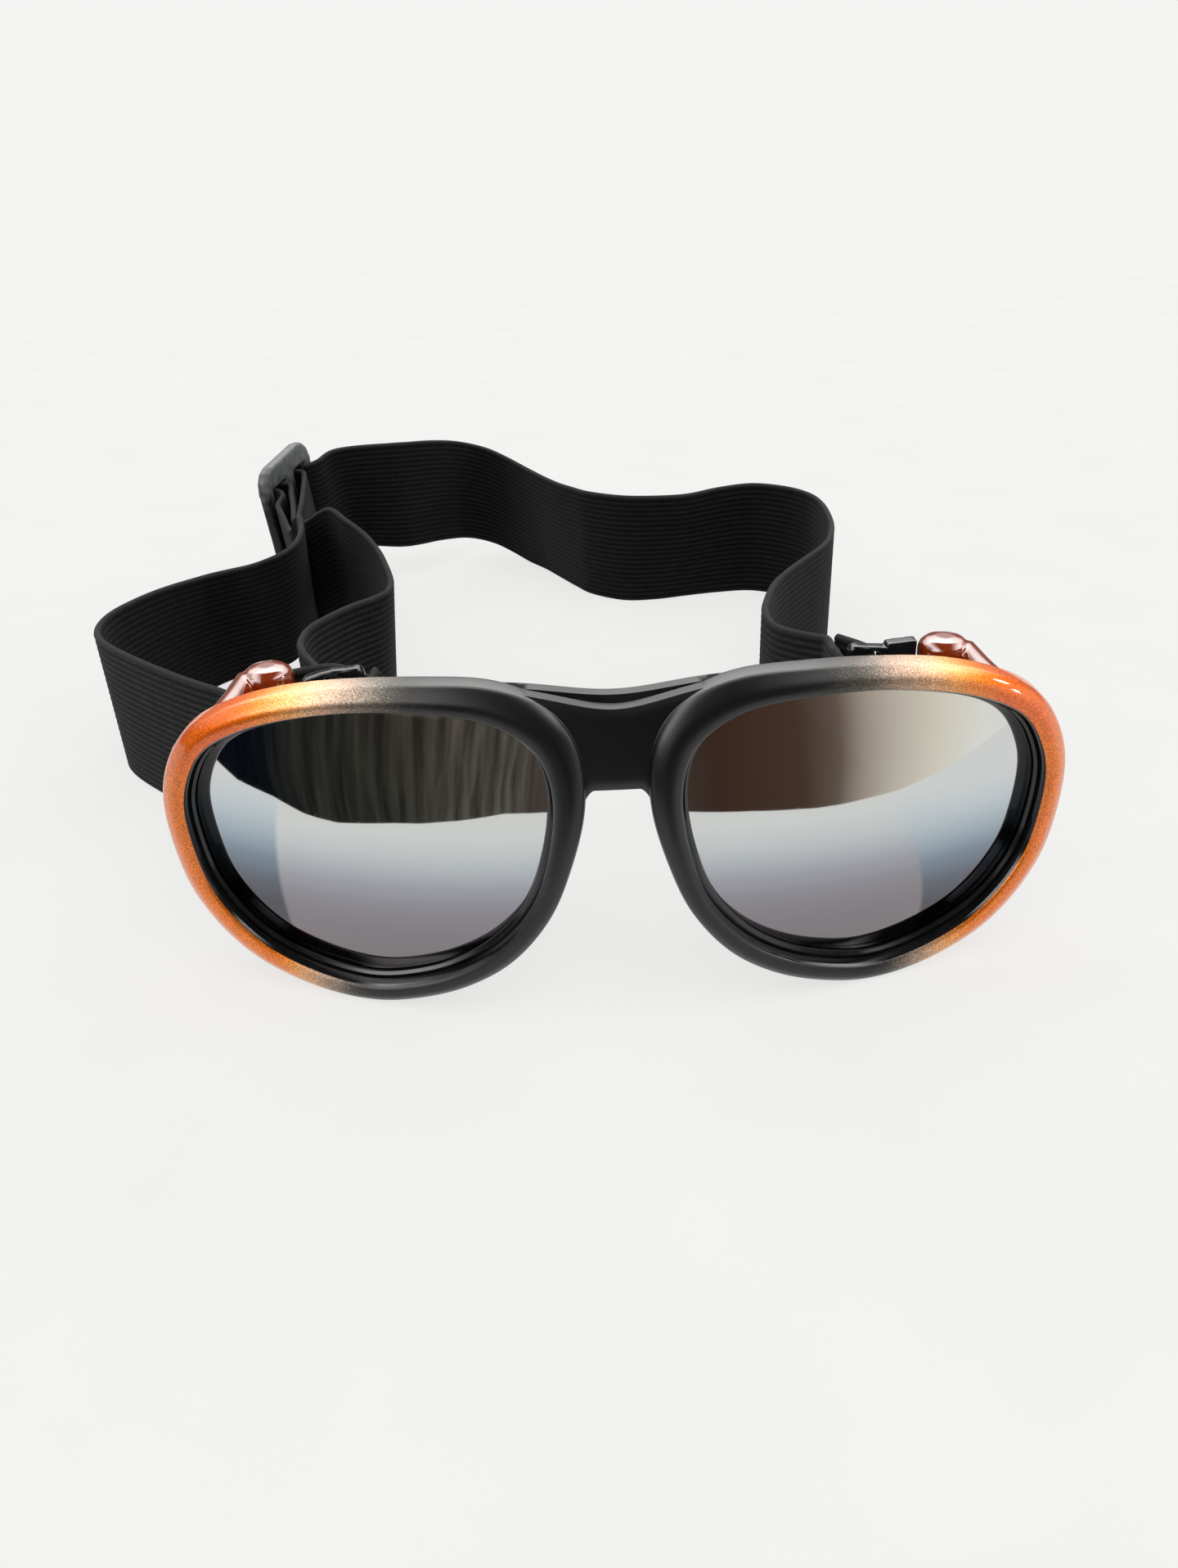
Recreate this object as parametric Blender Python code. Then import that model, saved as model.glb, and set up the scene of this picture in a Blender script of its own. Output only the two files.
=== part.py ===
"""Wraparound sport sunglasses worn on an elastic strap.

Run with: blender --background --python part.py
Metres, +Z up, the lenses face -Y. The glasses stand on their lower rims and on
the lower edge of the strap. The frame is built about its own middle plane, and
the whole assembly is moved at the end so that the origin is the middle of its
footprint.
"""

import math

import bmesh
import bpy
from mathutils import Vector

COLLECTION_NAME = "strap_sunglasses"

# Clearances
SEAT_GAP = 0.0003
CUT_OVERRUN = 0.001

# Front: one eye's opening, and the curved face that all front pieces follow
NOSE_HALF_GAP = 0.0085
EYE_HALF_WIDTH = 0.0262
EYE_HALF_HEIGHT = 0.0219
EYE_FOOT = 0.0032
EYE_CENTRE_X = NOSE_HALF_GAP + EYE_HALF_WIDTH
EYE_CENTRE_Z = EYE_FOOT + EYE_HALF_HEIGHT
EYE_OUTER_X = EYE_CENTRE_X + EYE_HALF_WIDTH
EYE_TOP_Z = EYE_CENTRE_Z + EYE_HALF_HEIGHT
RIM_WIDTH = 0.0044
WRAP_RADIUS = 0.144
BOW_RADIUS = 0.110
RAKE = math.radians(2.0)

# Depths behind the crest of the rims
RIM_CROWN = 0.0019
LIP_DEPTH = 0.0024
SKIRT_DEPTH = 0.0040
SKIRT_WALL = 0.0011
BRIDGE_RECESS = 0.0017

# Inner frame
LINING = 0.0008
GROOVE_DEPTH = 0.0009
GROOVE_FRONT = 0.0035
GROOVE_BACK = 0.0058
REAR_LIP = 0.0003
FLANGE_INSET = 0.0003
FLANGE_TAPER = 0.0010
INNER_BACK = 0.0066

# Bridge
BRIDGE_TOP = EYE_TOP_Z + SEAT_GAP
BRIDGE_TOP_RISE = 0.0026
BRIDGE_HEIGHT = 0.0107
BRIDGE_BOTTOM = BRIDGE_TOP - BRIDGE_HEIGHT
BRIDGE_CORNER = 0.0026
INNER_BRIDGE_LIFT = 0.0008

# Lens
LENS_BULGE = 0.0012

# Side arms
ARM_FRONT_OUTSET = 0.0040
ARM_END_OUTSET = 0.0009
ARM_FRONT_X = EYE_OUTER_X + ARM_FRONT_OUTSET
ARM_END_X = EYE_OUTER_X + ARM_END_OUTSET
ARM_FRONT_THICKNESS = 0.0044
ARM_END_THICKNESS = 0.0038
ARM_TOP = 0.0366
ARM_FRONT_BOTTOM = 0.0165
ARM_END_BOTTOM = 0.0215
ARM_END_Y = 0.0515

# Hinge between an arm and its clip
HINGE_INSET = 0.0056
HINGE_X = ARM_END_X - HINGE_INSET
HINGE_Y = 0.0495
HINGE_TOP = 0.0376
HINGE_BOTTOM = 0.0215
KNUCKLE_RADIUS = 0.0042
KNUCKLE_CROWN = 0.0020
CLIP_KNUCKLE_RADIUS = 0.0034
CLIP_KNUCKLE_TOP = 0.0333
CLIP_KNUCKLE_BOTTOM = 0.0263
PIN_RADIUS = 0.0010
PIN_HEAD_RADIUS = 0.0019
PIN_HEAD_HEIGHT = 0.0012
PIN_TOP = 0.0358

# Webbing
WEB_WIDTH = 0.0300
WEB_THICKNESS = 0.0014

# Clip: a loop of moulded plastic that the webbing is folded round
CLIP_THICKNESS = 0.0026
CLIP_POST_START = 0.0050
CLIP_POST_WIDTH = 0.0047
CLIP_SLOT_WIDTH = 0.0035
CLIP_BAR_WIDTH = 0.0028
CLIP_RAIL = 0.0012
CLIP_WEB_RISE = 0.0052
CLIP_WEB_TOP = WEB_WIDTH + CLIP_WEB_RISE
CLIP_WAIST = 0.0004
CLIP_SHOULDER = 0.0020

# Slider: a tri-glide with a centre bar between two slots
SLIDER_LENGTH = 0.0260
SLIDER_RAIL = 0.0052
SLIDER_THICKNESS = 0.0030
SLIDER_BAR = 0.0050
SLIDER_END = 0.0035
SLIDER_SLOT = SLIDER_LENGTH / 2 - SLIDER_BAR / 2 - SLIDER_END
SLIDER_EDGE_ROUND = 0.0008
SLIDER_TILT = math.radians(10.0)
SLIDER_HEADING = math.radians(74.3)

# Strap as it lies: half the width and the depth that its loop takes up
LOOP_SPREAD_SHARE = 1.642036
LOOP_SPREAD = EYE_OUTER_X * LOOP_SPREAD_SHARE
LOOP_DEPTH = 0.200

# Mesh density
RIM_STATIONS = 66
LENS_STATIONS = 48
ROUND_SIDES = 24
WEB_STEP = 0.0045

# The opening of the right eye, round from its outer side and under: across and
# up from the eye's centre as shares of its half sizes, then the rim's width as
# a share of RIM_WIDTH
OPENING_SHARES = (
    (1.018, 0.132, 0.90),
    (0.974, -0.283, 0.95),
    (0.873, -0.539, 1.00),
    (0.730, -0.735, 1.02),
    (0.573, -0.858, 0.98),
    (0.332, -0.963, 0.91),
    (0.084, -1.000, 0.82),
    (-0.168, -0.936, 0.77),
    (-0.420, -0.804, 0.75),
    (-0.656, -0.589, 0.73),
    (-0.855, -0.274, 0.68),
    (-0.958, 0.087, 0.77),
    (-1.000, 0.429, 0.95),
    (-0.966, 0.689, 1.14),
    (-0.866, 0.845, 1.22),
    (-0.676, 0.962, 1.03),
    (-0.389, 1.006, 0.85),
    (-0.027, 0.996, 0.77),
    (0.317, 0.927, 0.79),
    (0.611, 0.812, 0.79),
    (0.840, 0.645, 0.82),
    (0.972, 0.400, 0.87),
)

# The rim's rounded face, from the opening outward: shares of the rim's width
# and of RIM_CROWN
RIM_FACE_SHARES = (
    (0.00, 0.62),
    (0.10, 0.28),
    (0.30, 0.05),
    (0.55, 0.00),
    (0.80, 0.22),
    (0.94, 0.47),
    (1.00, 0.76),
)

# A side arm from its seat on the frame to its end: along, the way inward from
# the front's outer face to the end's, and how far its height has tapered
ARM_SHARES = (
    (0.00, 0.00, 0.00),
    (0.15, 0.25, 0.30),
    (0.40, 0.68, 0.75),
    (0.68, 0.92, 0.95),
    (0.93, 1.00, 1.00),
)

# Routes of the strap's upper edge. Each row is across (share of LOOP_SPREAD,
# from the frame's middle), back (share of LOOP_DEPTH), the lower edge's height
# (share of WEB_WIDTH) and the upper edge's lean across and back (shares of
# WEB_WIDTH).
RIGHT_RUN_SHARES = (
    (0.397, 0.309, 0.110, 0.00, 0.00),
    (0.387, 0.323, 0.085, 0.00, 0.00),
    (0.355, 0.349, 0.050, 0.00, 0.00),
    (0.333, 0.375, 0.020, 0.00, 0.00),
    (0.324, 0.399, 0.003, 0.00, 0.00),
    (0.323, 0.424, 0.000, 0.00, 0.00),
    (0.334, 0.452, 0.000, 0.00, 0.00),
    (0.363, 0.499, 0.000, 0.00, 0.00),
    (0.404, 0.539, 0.000, 0.00, 0.00),
    (0.462, 0.583, 0.000, 0.00, 0.00),
    (0.508, 0.617, 0.000, 0.00, 0.00),
    (0.544, 0.653, 0.000, 0.00, 0.00),
    (0.569, 0.701, 0.000, 0.00, 0.00),
    (0.582, 0.752, 0.000, 0.00, 0.00),
)
BACK_BAND_SHARES = (
    (0.582, 0.752, 0.000, 0.00, 0.00),
    (0.584, 0.805, 0.000, 0.00, 0.00),
    (0.567, 0.845, 0.000, 0.00, 0.01),
    (0.520, 0.880, 0.000, 0.00, 0.02),
    (0.440, 0.903, 0.000, 0.00, 0.02),
    (0.348, 0.891, 0.000, 0.00, -0.05),
    (0.256, 0.869, 0.000, 0.00, -0.14),
    (0.169, 0.864, 0.000, 0.00, -0.11),
    (0.083, 0.871, 0.000, 0.00, -0.08),
    (-0.002, 0.899, 0.000, 0.00, -0.10),
    (-0.046, 0.928, 0.000, 0.00, -0.14),
    (-0.091, 0.964, 0.000, 0.00, -0.18),
    (-0.138, 1.009, 0.000, 0.00, -0.17),
    (-0.188, 1.055, 0.007, 0.00, -0.10),
    (-0.240, 1.088, 0.050, 0.00, -0.08),
    (-0.290, 1.103, 0.110, 0.00, -0.08),
    (-0.340, 1.104, 0.165, 0.00, -0.08),
    (-0.385, 1.090, 0.220, 0.00, -0.08),
    (-0.425, 1.068, 0.265, 0.00, -0.06),
    (-0.466, 1.046, 0.298, 0.00, -0.04),
    (-0.510, 1.028, 0.318, 0.00, 0.00),
    (-0.560, 1.013, 0.335, 0.00, 0.00),
    (-0.630, 0.999, 0.355, -0.02, -0.04),
)
OUTER_RUN_SHARES = (
    (-1.018, 0.480, 0.000, 0.00, 0.00),
    (-1.012, 0.508, 0.000, 0.01, -0.04),
    (-0.993, 0.537, 0.000, 0.02, -0.09),
    (-0.970, 0.565, 0.000, 0.02, -0.15),
    (-0.943, 0.592, 0.000, 0.01, -0.22),
    (-0.912, 0.614, 0.000, 0.00, -0.26),
    (-0.878, 0.627, 0.008, 0.01, -0.27),
    (-0.835, 0.631, 0.028, 0.03, -0.27),
    (-0.786, 0.626, 0.065, 0.06, -0.26),
    (-0.742, 0.622, 0.108, 0.09, -0.23),
    (-0.708, 0.627, 0.142, 0.12, -0.20),
    (-0.686, 0.644, 0.168, 0.14, -0.17),
    (-0.680, 0.668, 0.190, 0.12, -0.15),
    (-0.688, 0.697, 0.205, 0.08, -0.15),
    (-0.709, 0.733, 0.218, 0.04, -0.16),
)
LEFT_OUTER_LEG_SHARES = (
    (-1.018, 0.480, 0.000, 0.00, 0.00),
    (-1.009, 0.453, 0.000, 0.00, 0.00),
    (-0.985, 0.428, 0.000, 0.00, 0.00),
    (-0.945, 0.404, 0.000, 0.00, 0.00),
    (-0.889, 0.377, 0.000, 0.00, 0.00),
    (-0.838, 0.354, 0.000, 0.00, 0.00),
    (-0.784, 0.331, 0.000, 0.00, 0.00),
    (-0.728, 0.309, 0.000, 0.00, 0.00),
    (-0.680, 0.291, 0.005, 0.00, 0.00),
)
LEFT_INNER_LEG_SHARES = (
    (-0.468, 0.296, 0.055, 0.00, 0.00),
    (-0.505, 0.320, 0.012, 0.00, 0.00),
    (-0.543, 0.352, 0.000, 0.00, 0.00),
    (-0.570, 0.380, 0.000, 0.00, 0.00),
    (-0.580, 0.404, 0.000, 0.00, 0.00),
    (-0.576, 0.434, 0.000, 0.00, 0.00),
)
INNER_RUN_SHARES = (
    (-0.576, 0.434, 0.000, 0.00, 0.00),
    (-0.549, 0.464, 0.000, 0.00, 0.00),
    (-0.512, 0.492, 0.000, 0.03, 0.00),
    (-0.477, 0.511, 0.000, 0.06, 0.00),
    (-0.454, 0.529, 0.000, 0.09, 0.00),
    (-0.446, 0.550, 0.000, 0.10, 0.00),
    (-0.452, 0.575, 0.012, 0.09, -0.01),
    (-0.470, 0.606, 0.048, 0.07, -0.04),
    (-0.495, 0.638, 0.100, 0.04, -0.08),
    (-0.537, 0.674, 0.165, 0.00, -0.12),
    (-0.588, 0.706, 0.220, -0.03, -0.15),
    (-0.640, 0.738, 0.252, -0.04, -0.16),
)
SLIDER_PLACE_SHARES = (-0.810, 0.929)


# Small helpers


def clear_scene():
    for thing in list(bpy.data.objects):
        bpy.data.objects.remove(thing, do_unlink=True)


def new_collection(name):
    collection = bpy.data.collections.new(name)
    bpy.context.scene.collection.children.link(collection)
    return collection


def material(name, colour, roughness, metallic=0.0, alpha=1.0):
    made = bpy.data.materials.new(name)
    made.use_nodes = True
    shader = made.node_tree.nodes["Principled BSDF"]
    shader.inputs["Base Color"].default_value = (*colour, 1.0)
    shader.inputs["Roughness"].default_value = roughness
    shader.inputs["Metallic"].default_value = metallic
    shader.inputs["Alpha"].default_value = alpha
    return made


def finish_mesh(name, shape, collection, finish, smooth_angle=math.radians(35)):
    """Turns a bmesh into a named object with outward faces."""
    bmesh.ops.recalc_face_normals(shape, faces=shape.faces)
    mesh = bpy.data.meshes.new(name)
    shape.to_mesh(mesh)
    shape.free()
    mesh.shade_smooth()
    mesh.set_sharp_from_angle(angle=smooth_angle)
    made = bpy.data.objects.new(name, mesh)
    collection.objects.link(made)
    if finish is not None:
        mesh.materials.append(finish)
    return made


def loft(sections, closed, ladder_caps=False):
    """Quads between sections of equal length. Open ends get caps, curved ones in rungs."""
    shape = bmesh.new()
    rings = [[shape.verts.new(point) for point in section] for section in sections]
    size = len(rings[0])
    last = len(rings) if closed else len(rings) - 1
    for index in range(last):
        here = rings[index]
        there = rings[(index + 1) % len(rings)]
        for corner in range(size):
            after = (corner + 1) % size
            shape.faces.new((here[corner], here[after], there[after], there[corner]))
    if closed:
        return shape
    for ring in (rings[0], rings[-1]):
        if ladder_caps:
            for rung in range(size // 2 - 1):
                far = size - 1 - rung
                shape.faces.new((ring[rung], ring[rung + 1], ring[far - 1], ring[far]))
        else:
            shape.faces.new(ring)
    return shape


def apply_boolean(target, tool, operation):
    """Joins or cuts target with tool and removes tool."""
    step = target.modifiers.new(operation.lower(), "BOOLEAN")
    step.operation = operation
    step.solver = "EXACT"
    step.object = tool
    bpy.context.view_layer.update()
    graph = bpy.context.evaluated_depsgraph_get()
    mesh = bpy.data.meshes.new_from_object(target.evaluated_get(graph))
    old = target.data
    target.modifiers.clear()
    target.data = mesh
    bpy.data.meshes.remove(old)
    bpy.data.objects.remove(tool, do_unlink=True)
    mesh.name = target.name


def keep_cutter(cutter, collection):
    """Marks an object as a cutter and leaves it in the cutters' collection."""
    for held in list(cutter.users_collection):
        held.objects.unlink(cutter)
    collection.objects.link(cutter)
    cutter.hide_render = True
    cutter.display_type = "WIRE"


def cylinder(name, radius, low, high, centre, collection, finish):
    shape = bmesh.new()
    bmesh.ops.create_cone(
        shape,
        cap_ends=True,
        segments=ROUND_SIDES,
        radius1=radius,
        radius2=radius,
        depth=high - low,
    )
    middle = Vector((centre[0], centre[1], (low + high) / 2))
    bmesh.ops.translate(shape, verts=shape.verts, vec=middle)
    return finish_mesh(name, shape, collection, finish)


def knuckle_shape(radius, low, high, crown):
    """A round knuckle whose top is domed by crown."""
    rings = ((1.0, 1.0), (0.93, 0.55), (0.72, 0.20), (0.38, 0.03))
    levels = [(radius, low)] + [(radius * r, high - crown * c) for r, c in rings]
    sections = []
    for reach, height in levels:
        turns = [2 * math.pi * step / ROUND_SIDES for step in range(ROUND_SIDES)]
        sections.append(
            [Vector((reach * math.cos(a), reach * math.sin(a), height)) for a in turns]
        )
    return loft(sections, closed=False)


def box(name, low, high, collection, finish):
    shape = bmesh.new()
    bmesh.ops.create_cube(shape, size=1.0)
    size = Vector(high) - Vector(low)
    bmesh.ops.scale(shape, verts=shape.verts, vec=size)
    bmesh.ops.translate(shape, verts=shape.verts, vec=(Vector(high) + Vector(low)) / 2)
    return finish_mesh(name, shape, collection, finish)


def spline(points, steps, closed):
    """Catmull-Rom points through rows of numbers, a share of a step apart."""
    count = len(points)
    found = []
    spans = count if closed else count - 1
    for index in range(spans):
        if closed:
            rows = [points[(index + offset) % count] for offset in (-1, 0, 1, 2)]
        else:
            rows = [points[min(max(index + offset, 0), count - 1)] for offset in (-1, 0, 1, 2)]
        for step in range(steps):
            t = step / steps
            found.append(tuple(catmull_rom(*values, t) for values in zip(*rows)))
    if not closed:
        found.append(tuple(points[-1]))
    return found


def catmull_rom(before, start, end, after, t):
    return 0.5 * (
        2 * start
        + (end - before) * t
        + (2 * before - 5 * start + 4 * end - after) * t**2
        + (3 * start - before - 3 * end + after) * t**3
    )


def evenly(points, count, closed):
    """Resamples rows of numbers to count rows, evenly spaced by their first two."""
    rows = list(points) + ([points[0]] if closed else [])
    lengths = [0.0]
    for one, two in zip(rows, rows[1:]):
        lengths.append(lengths[-1] + math.dist(one[:2], two[:2]))
    total = lengths[-1]
    spans = count if closed else count - 1
    found = []
    place = 0
    for index in range(count):
        wanted = total * index / spans
        while place < len(rows) - 2 and lengths[place + 1] < wanted:
            place += 1
        t = (wanted - lengths[place]) / (lengths[place + 1] - lengths[place])
        found.append(tuple(a + (b - a) * t for a, b in zip(rows[place], rows[place + 1])))
    return found


# The front


def front_y(x, z):
    """How far back the curved face lies at a place of the front."""
    wrap = WRAP_RADIUS - math.sqrt(WRAP_RADIUS**2 - x**2)
    bow = (z - EYE_CENTRE_Z) ** 2 / (2 * BOW_RADIUS)
    return wrap + bow + z * math.tan(RAKE)


def on_front(x, z, depth):
    low = max(z, 0.0)
    return Vector((x, front_y(x, low) + depth, low))


def eye_outline(count):
    """Stations round the right eye: place, outward direction and rim width."""
    rows = [
        (
            EYE_CENTRE_X + across * EYE_HALF_WIDTH,
            EYE_CENTRE_Z + up * EYE_HALF_HEIGHT,
            width * RIM_WIDTH,
        )
        for across, up, width in OPENING_SHARES
    ]
    rows = evenly(spline(rows, 8, closed=True), count, closed=True)
    stations = []
    for index, (x, z, width) in enumerate(rows):
        before = rows[index - 1]
        after = rows[(index + 1) % count]
        along = Vector((after[0] - before[0], after[1] - before[1])).normalized()
        stations.append((x, z, Vector((-along.y, along.x)), width))
    if sum(s[2].x * (s[0] - EYE_CENTRE_X) for s in stations) < 0:
        stations = [(x, z, -out, width) for x, z, out, width in stations]
    return stations


def rim_ring(name, section, side, collection, finish):
    """Sweeps section(width), as rows of outward offset and depth, round one eye."""
    sections = []
    for x, z, out, width in eye_outline(RIM_STATIONS):
        rows = section(width)
        sections.append(
            [on_front(side * (x + out.x * r), z + out.y * r, depth) for r, depth in rows]
        )
    return finish_mesh(name, loft(sections, closed=True), collection, finish)


def front_section(width):
    face = [(across * width, down * RIM_CROWN) for across, down in RIM_FACE_SHARES]
    back = [
        (width, SKIRT_DEPTH),
        (width - SKIRT_WALL, SKIRT_DEPTH),
        (width - SKIRT_WALL, LIP_DEPTH),
        (0.0, LIP_DEPTH),
    ]
    return face + back


def inner_section(width):
    pocket = width - SKIRT_WALL - SEAT_GAP
    flange = width - FLANGE_INSET
    return [
        (-LINING, LIP_DEPTH + SEAT_GAP),
        (pocket, LIP_DEPTH + SEAT_GAP),
        (pocket, SKIRT_DEPTH + SEAT_GAP),
        (flange, SKIRT_DEPTH + SEAT_GAP),
        (flange - FLANGE_TAPER / 2, INNER_BACK - FLANGE_TAPER / 2),
        (flange - FLANGE_TAPER, INNER_BACK),
        (-REAR_LIP, INNER_BACK),
        (-REAR_LIP, GROOVE_BACK),
        (GROOVE_DEPTH, GROOVE_BACK),
        (GROOVE_DEPTH, GROOVE_FRONT),
        (-LINING, GROOVE_FRONT),
    ]


def nose_side(inset):
    """The nose side of the right rim, from low to high, inset from its outer edge."""
    rows = []
    for x, z, out, width in eye_outline(RIM_STATIONS * 2):
        reach = width - inset
        place = (x + out.x * reach, z + out.y * reach)
        if place[0] < EYE_CENTRE_X - EYE_HALF_WIDTH / 2:
            rows.append(place)
    return sorted(rows, key=lambda row: row[1])


def side_at(rows, height):
    """The nose side's distance from the middle at a height."""
    for (x_low, z_low), (x_high, z_high) in zip(rows, rows[1:]):
        if z_low <= height <= z_high:
            t = (height - z_low) / (z_high - z_low)
            return x_low + (x_high - x_low) * t
    return rows[-1][0] if height > rows[-1][1] else rows[0][0]


def bridge_slab(name, inset, front, back, lift, collection, finish):
    """The bridge between the rims, with a dipped top and a flat, round-cornered foot."""
    columns = 20
    rows = 6
    edge = nose_side(inset)
    sections = []
    for column in range(columns + 1):
        share = -1 + 2 * column / columns
        top = BRIDGE_TOP + lift + BRIDGE_TOP_RISE * share**2
        turn = max(0.0, (abs(share) - 0.62) / 0.38)
        foot = BRIDGE_BOTTOM + lift - BRIDGE_CORNER * turn**2
        heights = [foot + (top - foot) * row / rows for row in range(rows + 1)]
        near = [on_front(share * side_at(edge, z), z, front) for z in heights]
        far = [on_front(share * side_at(edge, z), z, back) for z in reversed(heights)]
        sections.append(near + far)
    shape = loft(sections, closed=False, ladder_caps=True)
    return finish_mesh(name, shape, collection, finish)


def build_front_frame(collection, finish):
    frame = rim_ring("front_frame", front_section, 1, collection, finish)
    other = rim_ring("front_rim_left", front_section, -1, collection, finish)
    bridge = bridge_slab(
        "front_bridge", SKIRT_WALL / 2, BRIDGE_RECESS, SKIRT_DEPTH, 0.0, collection, finish
    )
    apply_boolean(frame, bridge, "UNION")
    apply_boolean(frame, other, "UNION")
    return frame


def build_inner_frame(collection, finish):
    frame = rim_ring("inner_frame", inner_section, 1, collection, finish)
    other = rim_ring("inner_rim_left", inner_section, -1, collection, finish)
    bridge = bridge_slab(
        "inner_bridge",
        SKIRT_WALL + SEAT_GAP * 2,
        SKIRT_DEPTH + SEAT_GAP,
        INNER_BACK,
        INNER_BRIDGE_LIFT,
        collection,
        finish,
    )
    apply_boolean(frame, bridge, "UNION")
    apply_boolean(frame, other, "UNION")
    return frame


def build_lens(side, collection, finish):
    """A curved plate whose edge sits in the inner frame's groove."""
    reach = GROOVE_DEPTH - SEAT_GAP
    edge = [
        (x + out.x * reach - EYE_CENTRE_X, z + out.y * reach - EYE_CENTRE_Z)
        for x, z, out, _ in eye_outline(LENS_STATIONS)
    ]
    ring_shares = (0.12, 0.35, 0.60, 0.80, 0.93, 1.00)
    front = GROOVE_FRONT + SEAT_GAP
    back = GROOVE_BACK - SEAT_GAP

    def loop(share, depth):
        lift = LENS_BULGE * (1 - share**2)
        return [
            on_front(
                side * (EYE_CENTRE_X + x * share), EYE_CENTRE_Z + z * share, depth - lift
            )
            for x, z in edge
        ]

    sections = [loop(share, front) for share in ring_shares]
    sections += [loop(share, back) for share in reversed(ring_shares)]
    name = "lens_right" if side > 0 else "lens_left"
    return finish_mesh(name, loft(sections, closed=False), collection, finish)


# Side arms, hinges and clips


def arm_sections(side):
    """Rounded-rectangle sections from the seat on the inner frame to the arm's end."""
    sections = []
    for along, inward, taper in ARM_SHARES:
        outer = ARM_FRONT_X + (ARM_END_X - ARM_FRONT_X) * inward
        thick = ARM_FRONT_THICKNESS + (ARM_END_THICKNESS - ARM_FRONT_THICKNESS) * inward
        low = ARM_FRONT_BOTTOM + (ARM_END_BOTTOM - ARM_FRONT_BOTTOM) * taper
        outline = rounded_box(outer - thick, outer, low, ARM_TOP, thick * 0.45)
        section = []
        for x, z in outline:
            seat = front_y(x, z) + INNER_BACK + SEAT_GAP
            section.append(Vector((side * x, seat + (ARM_END_Y - seat) * along, z)))
        sections.append(section)
    centre = sum(sections[-1], Vector()) / len(sections[-1])
    tip = Vector((centre.x, ARM_END_Y, centre.z))
    sections.append([tip + (point - centre) * 0.7 for point in sections[-1]])
    return sections


def build_arm(side, collection, finish):
    """A short side arm with the two outer knuckles of the hinge on its inner face."""
    name = "side_arm_right" if side > 0 else "side_arm_left"
    axis = (side * HINGE_X, HINGE_Y)
    arm = finish_mesh(name, loft(arm_sections(side), closed=False), collection, finish)
    spans = (
        (CLIP_KNUCKLE_TOP + SEAT_GAP, HINGE_TOP, KNUCKLE_CROWN),
        (HINGE_BOTTOM, CLIP_KNUCKLE_BOTTOM - SEAT_GAP, 0.0),
    )
    for low, high, crown in spans:
        if crown > 0:
            shape = knuckle_shape(KNUCKLE_RADIUS, low, high, crown)
            bmesh.ops.translate(shape, verts=shape.verts, vec=Vector((*axis, 0.0)))
            knuckle = finish_mesh("knuckle", shape, collection, finish)
        else:
            knuckle = cylinder("knuckle", KNUCKLE_RADIUS, low, high, axis, collection, finish)
        apply_boolean(arm, knuckle, "UNION")
    room = cylinder(
        "clip_room",
        CLIP_KNUCKLE_RADIUS + SEAT_GAP * 2,
        CLIP_KNUCKLE_BOTTOM - SEAT_GAP,
        CLIP_KNUCKLE_TOP + SEAT_GAP,
        axis,
        collection,
        None,
    )
    apply_boolean(arm, room, "DIFFERENCE")
    bore = cylinder(
        "pin_bore",
        PIN_RADIUS + SEAT_GAP,
        HINGE_BOTTOM - CUT_OVERRUN,
        PIN_TOP + SEAT_GAP,
        axis,
        collection,
        None,
    )
    apply_boolean(arm, bore, "DIFFERENCE")
    recess = cylinder(
        "head_recess",
        PIN_HEAD_RADIUS + SEAT_GAP,
        HINGE_BOTTOM - CUT_OVERRUN,
        HINGE_BOTTOM + PIN_HEAD_HEIGHT + SEAT_GAP * 2,
        axis,
        collection,
        None,
    )
    apply_boolean(arm, recess, "DIFFERENCE")
    return arm


def build_hinge_screw(side, collection, finish):
    name = "hinge_screw_right" if side > 0 else "hinge_screw_left"
    axis = (side * HINGE_X, HINGE_Y)
    foot = HINGE_BOTTOM + SEAT_GAP
    shank = cylinder(name, PIN_RADIUS, foot, PIN_TOP, axis, collection, finish)
    head = cylinder(
        "head", PIN_HEAD_RADIUS, foot, foot + PIN_HEAD_HEIGHT, axis, collection, finish
    )
    apply_boolean(shank, head, "UNION")
    return shank


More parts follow.
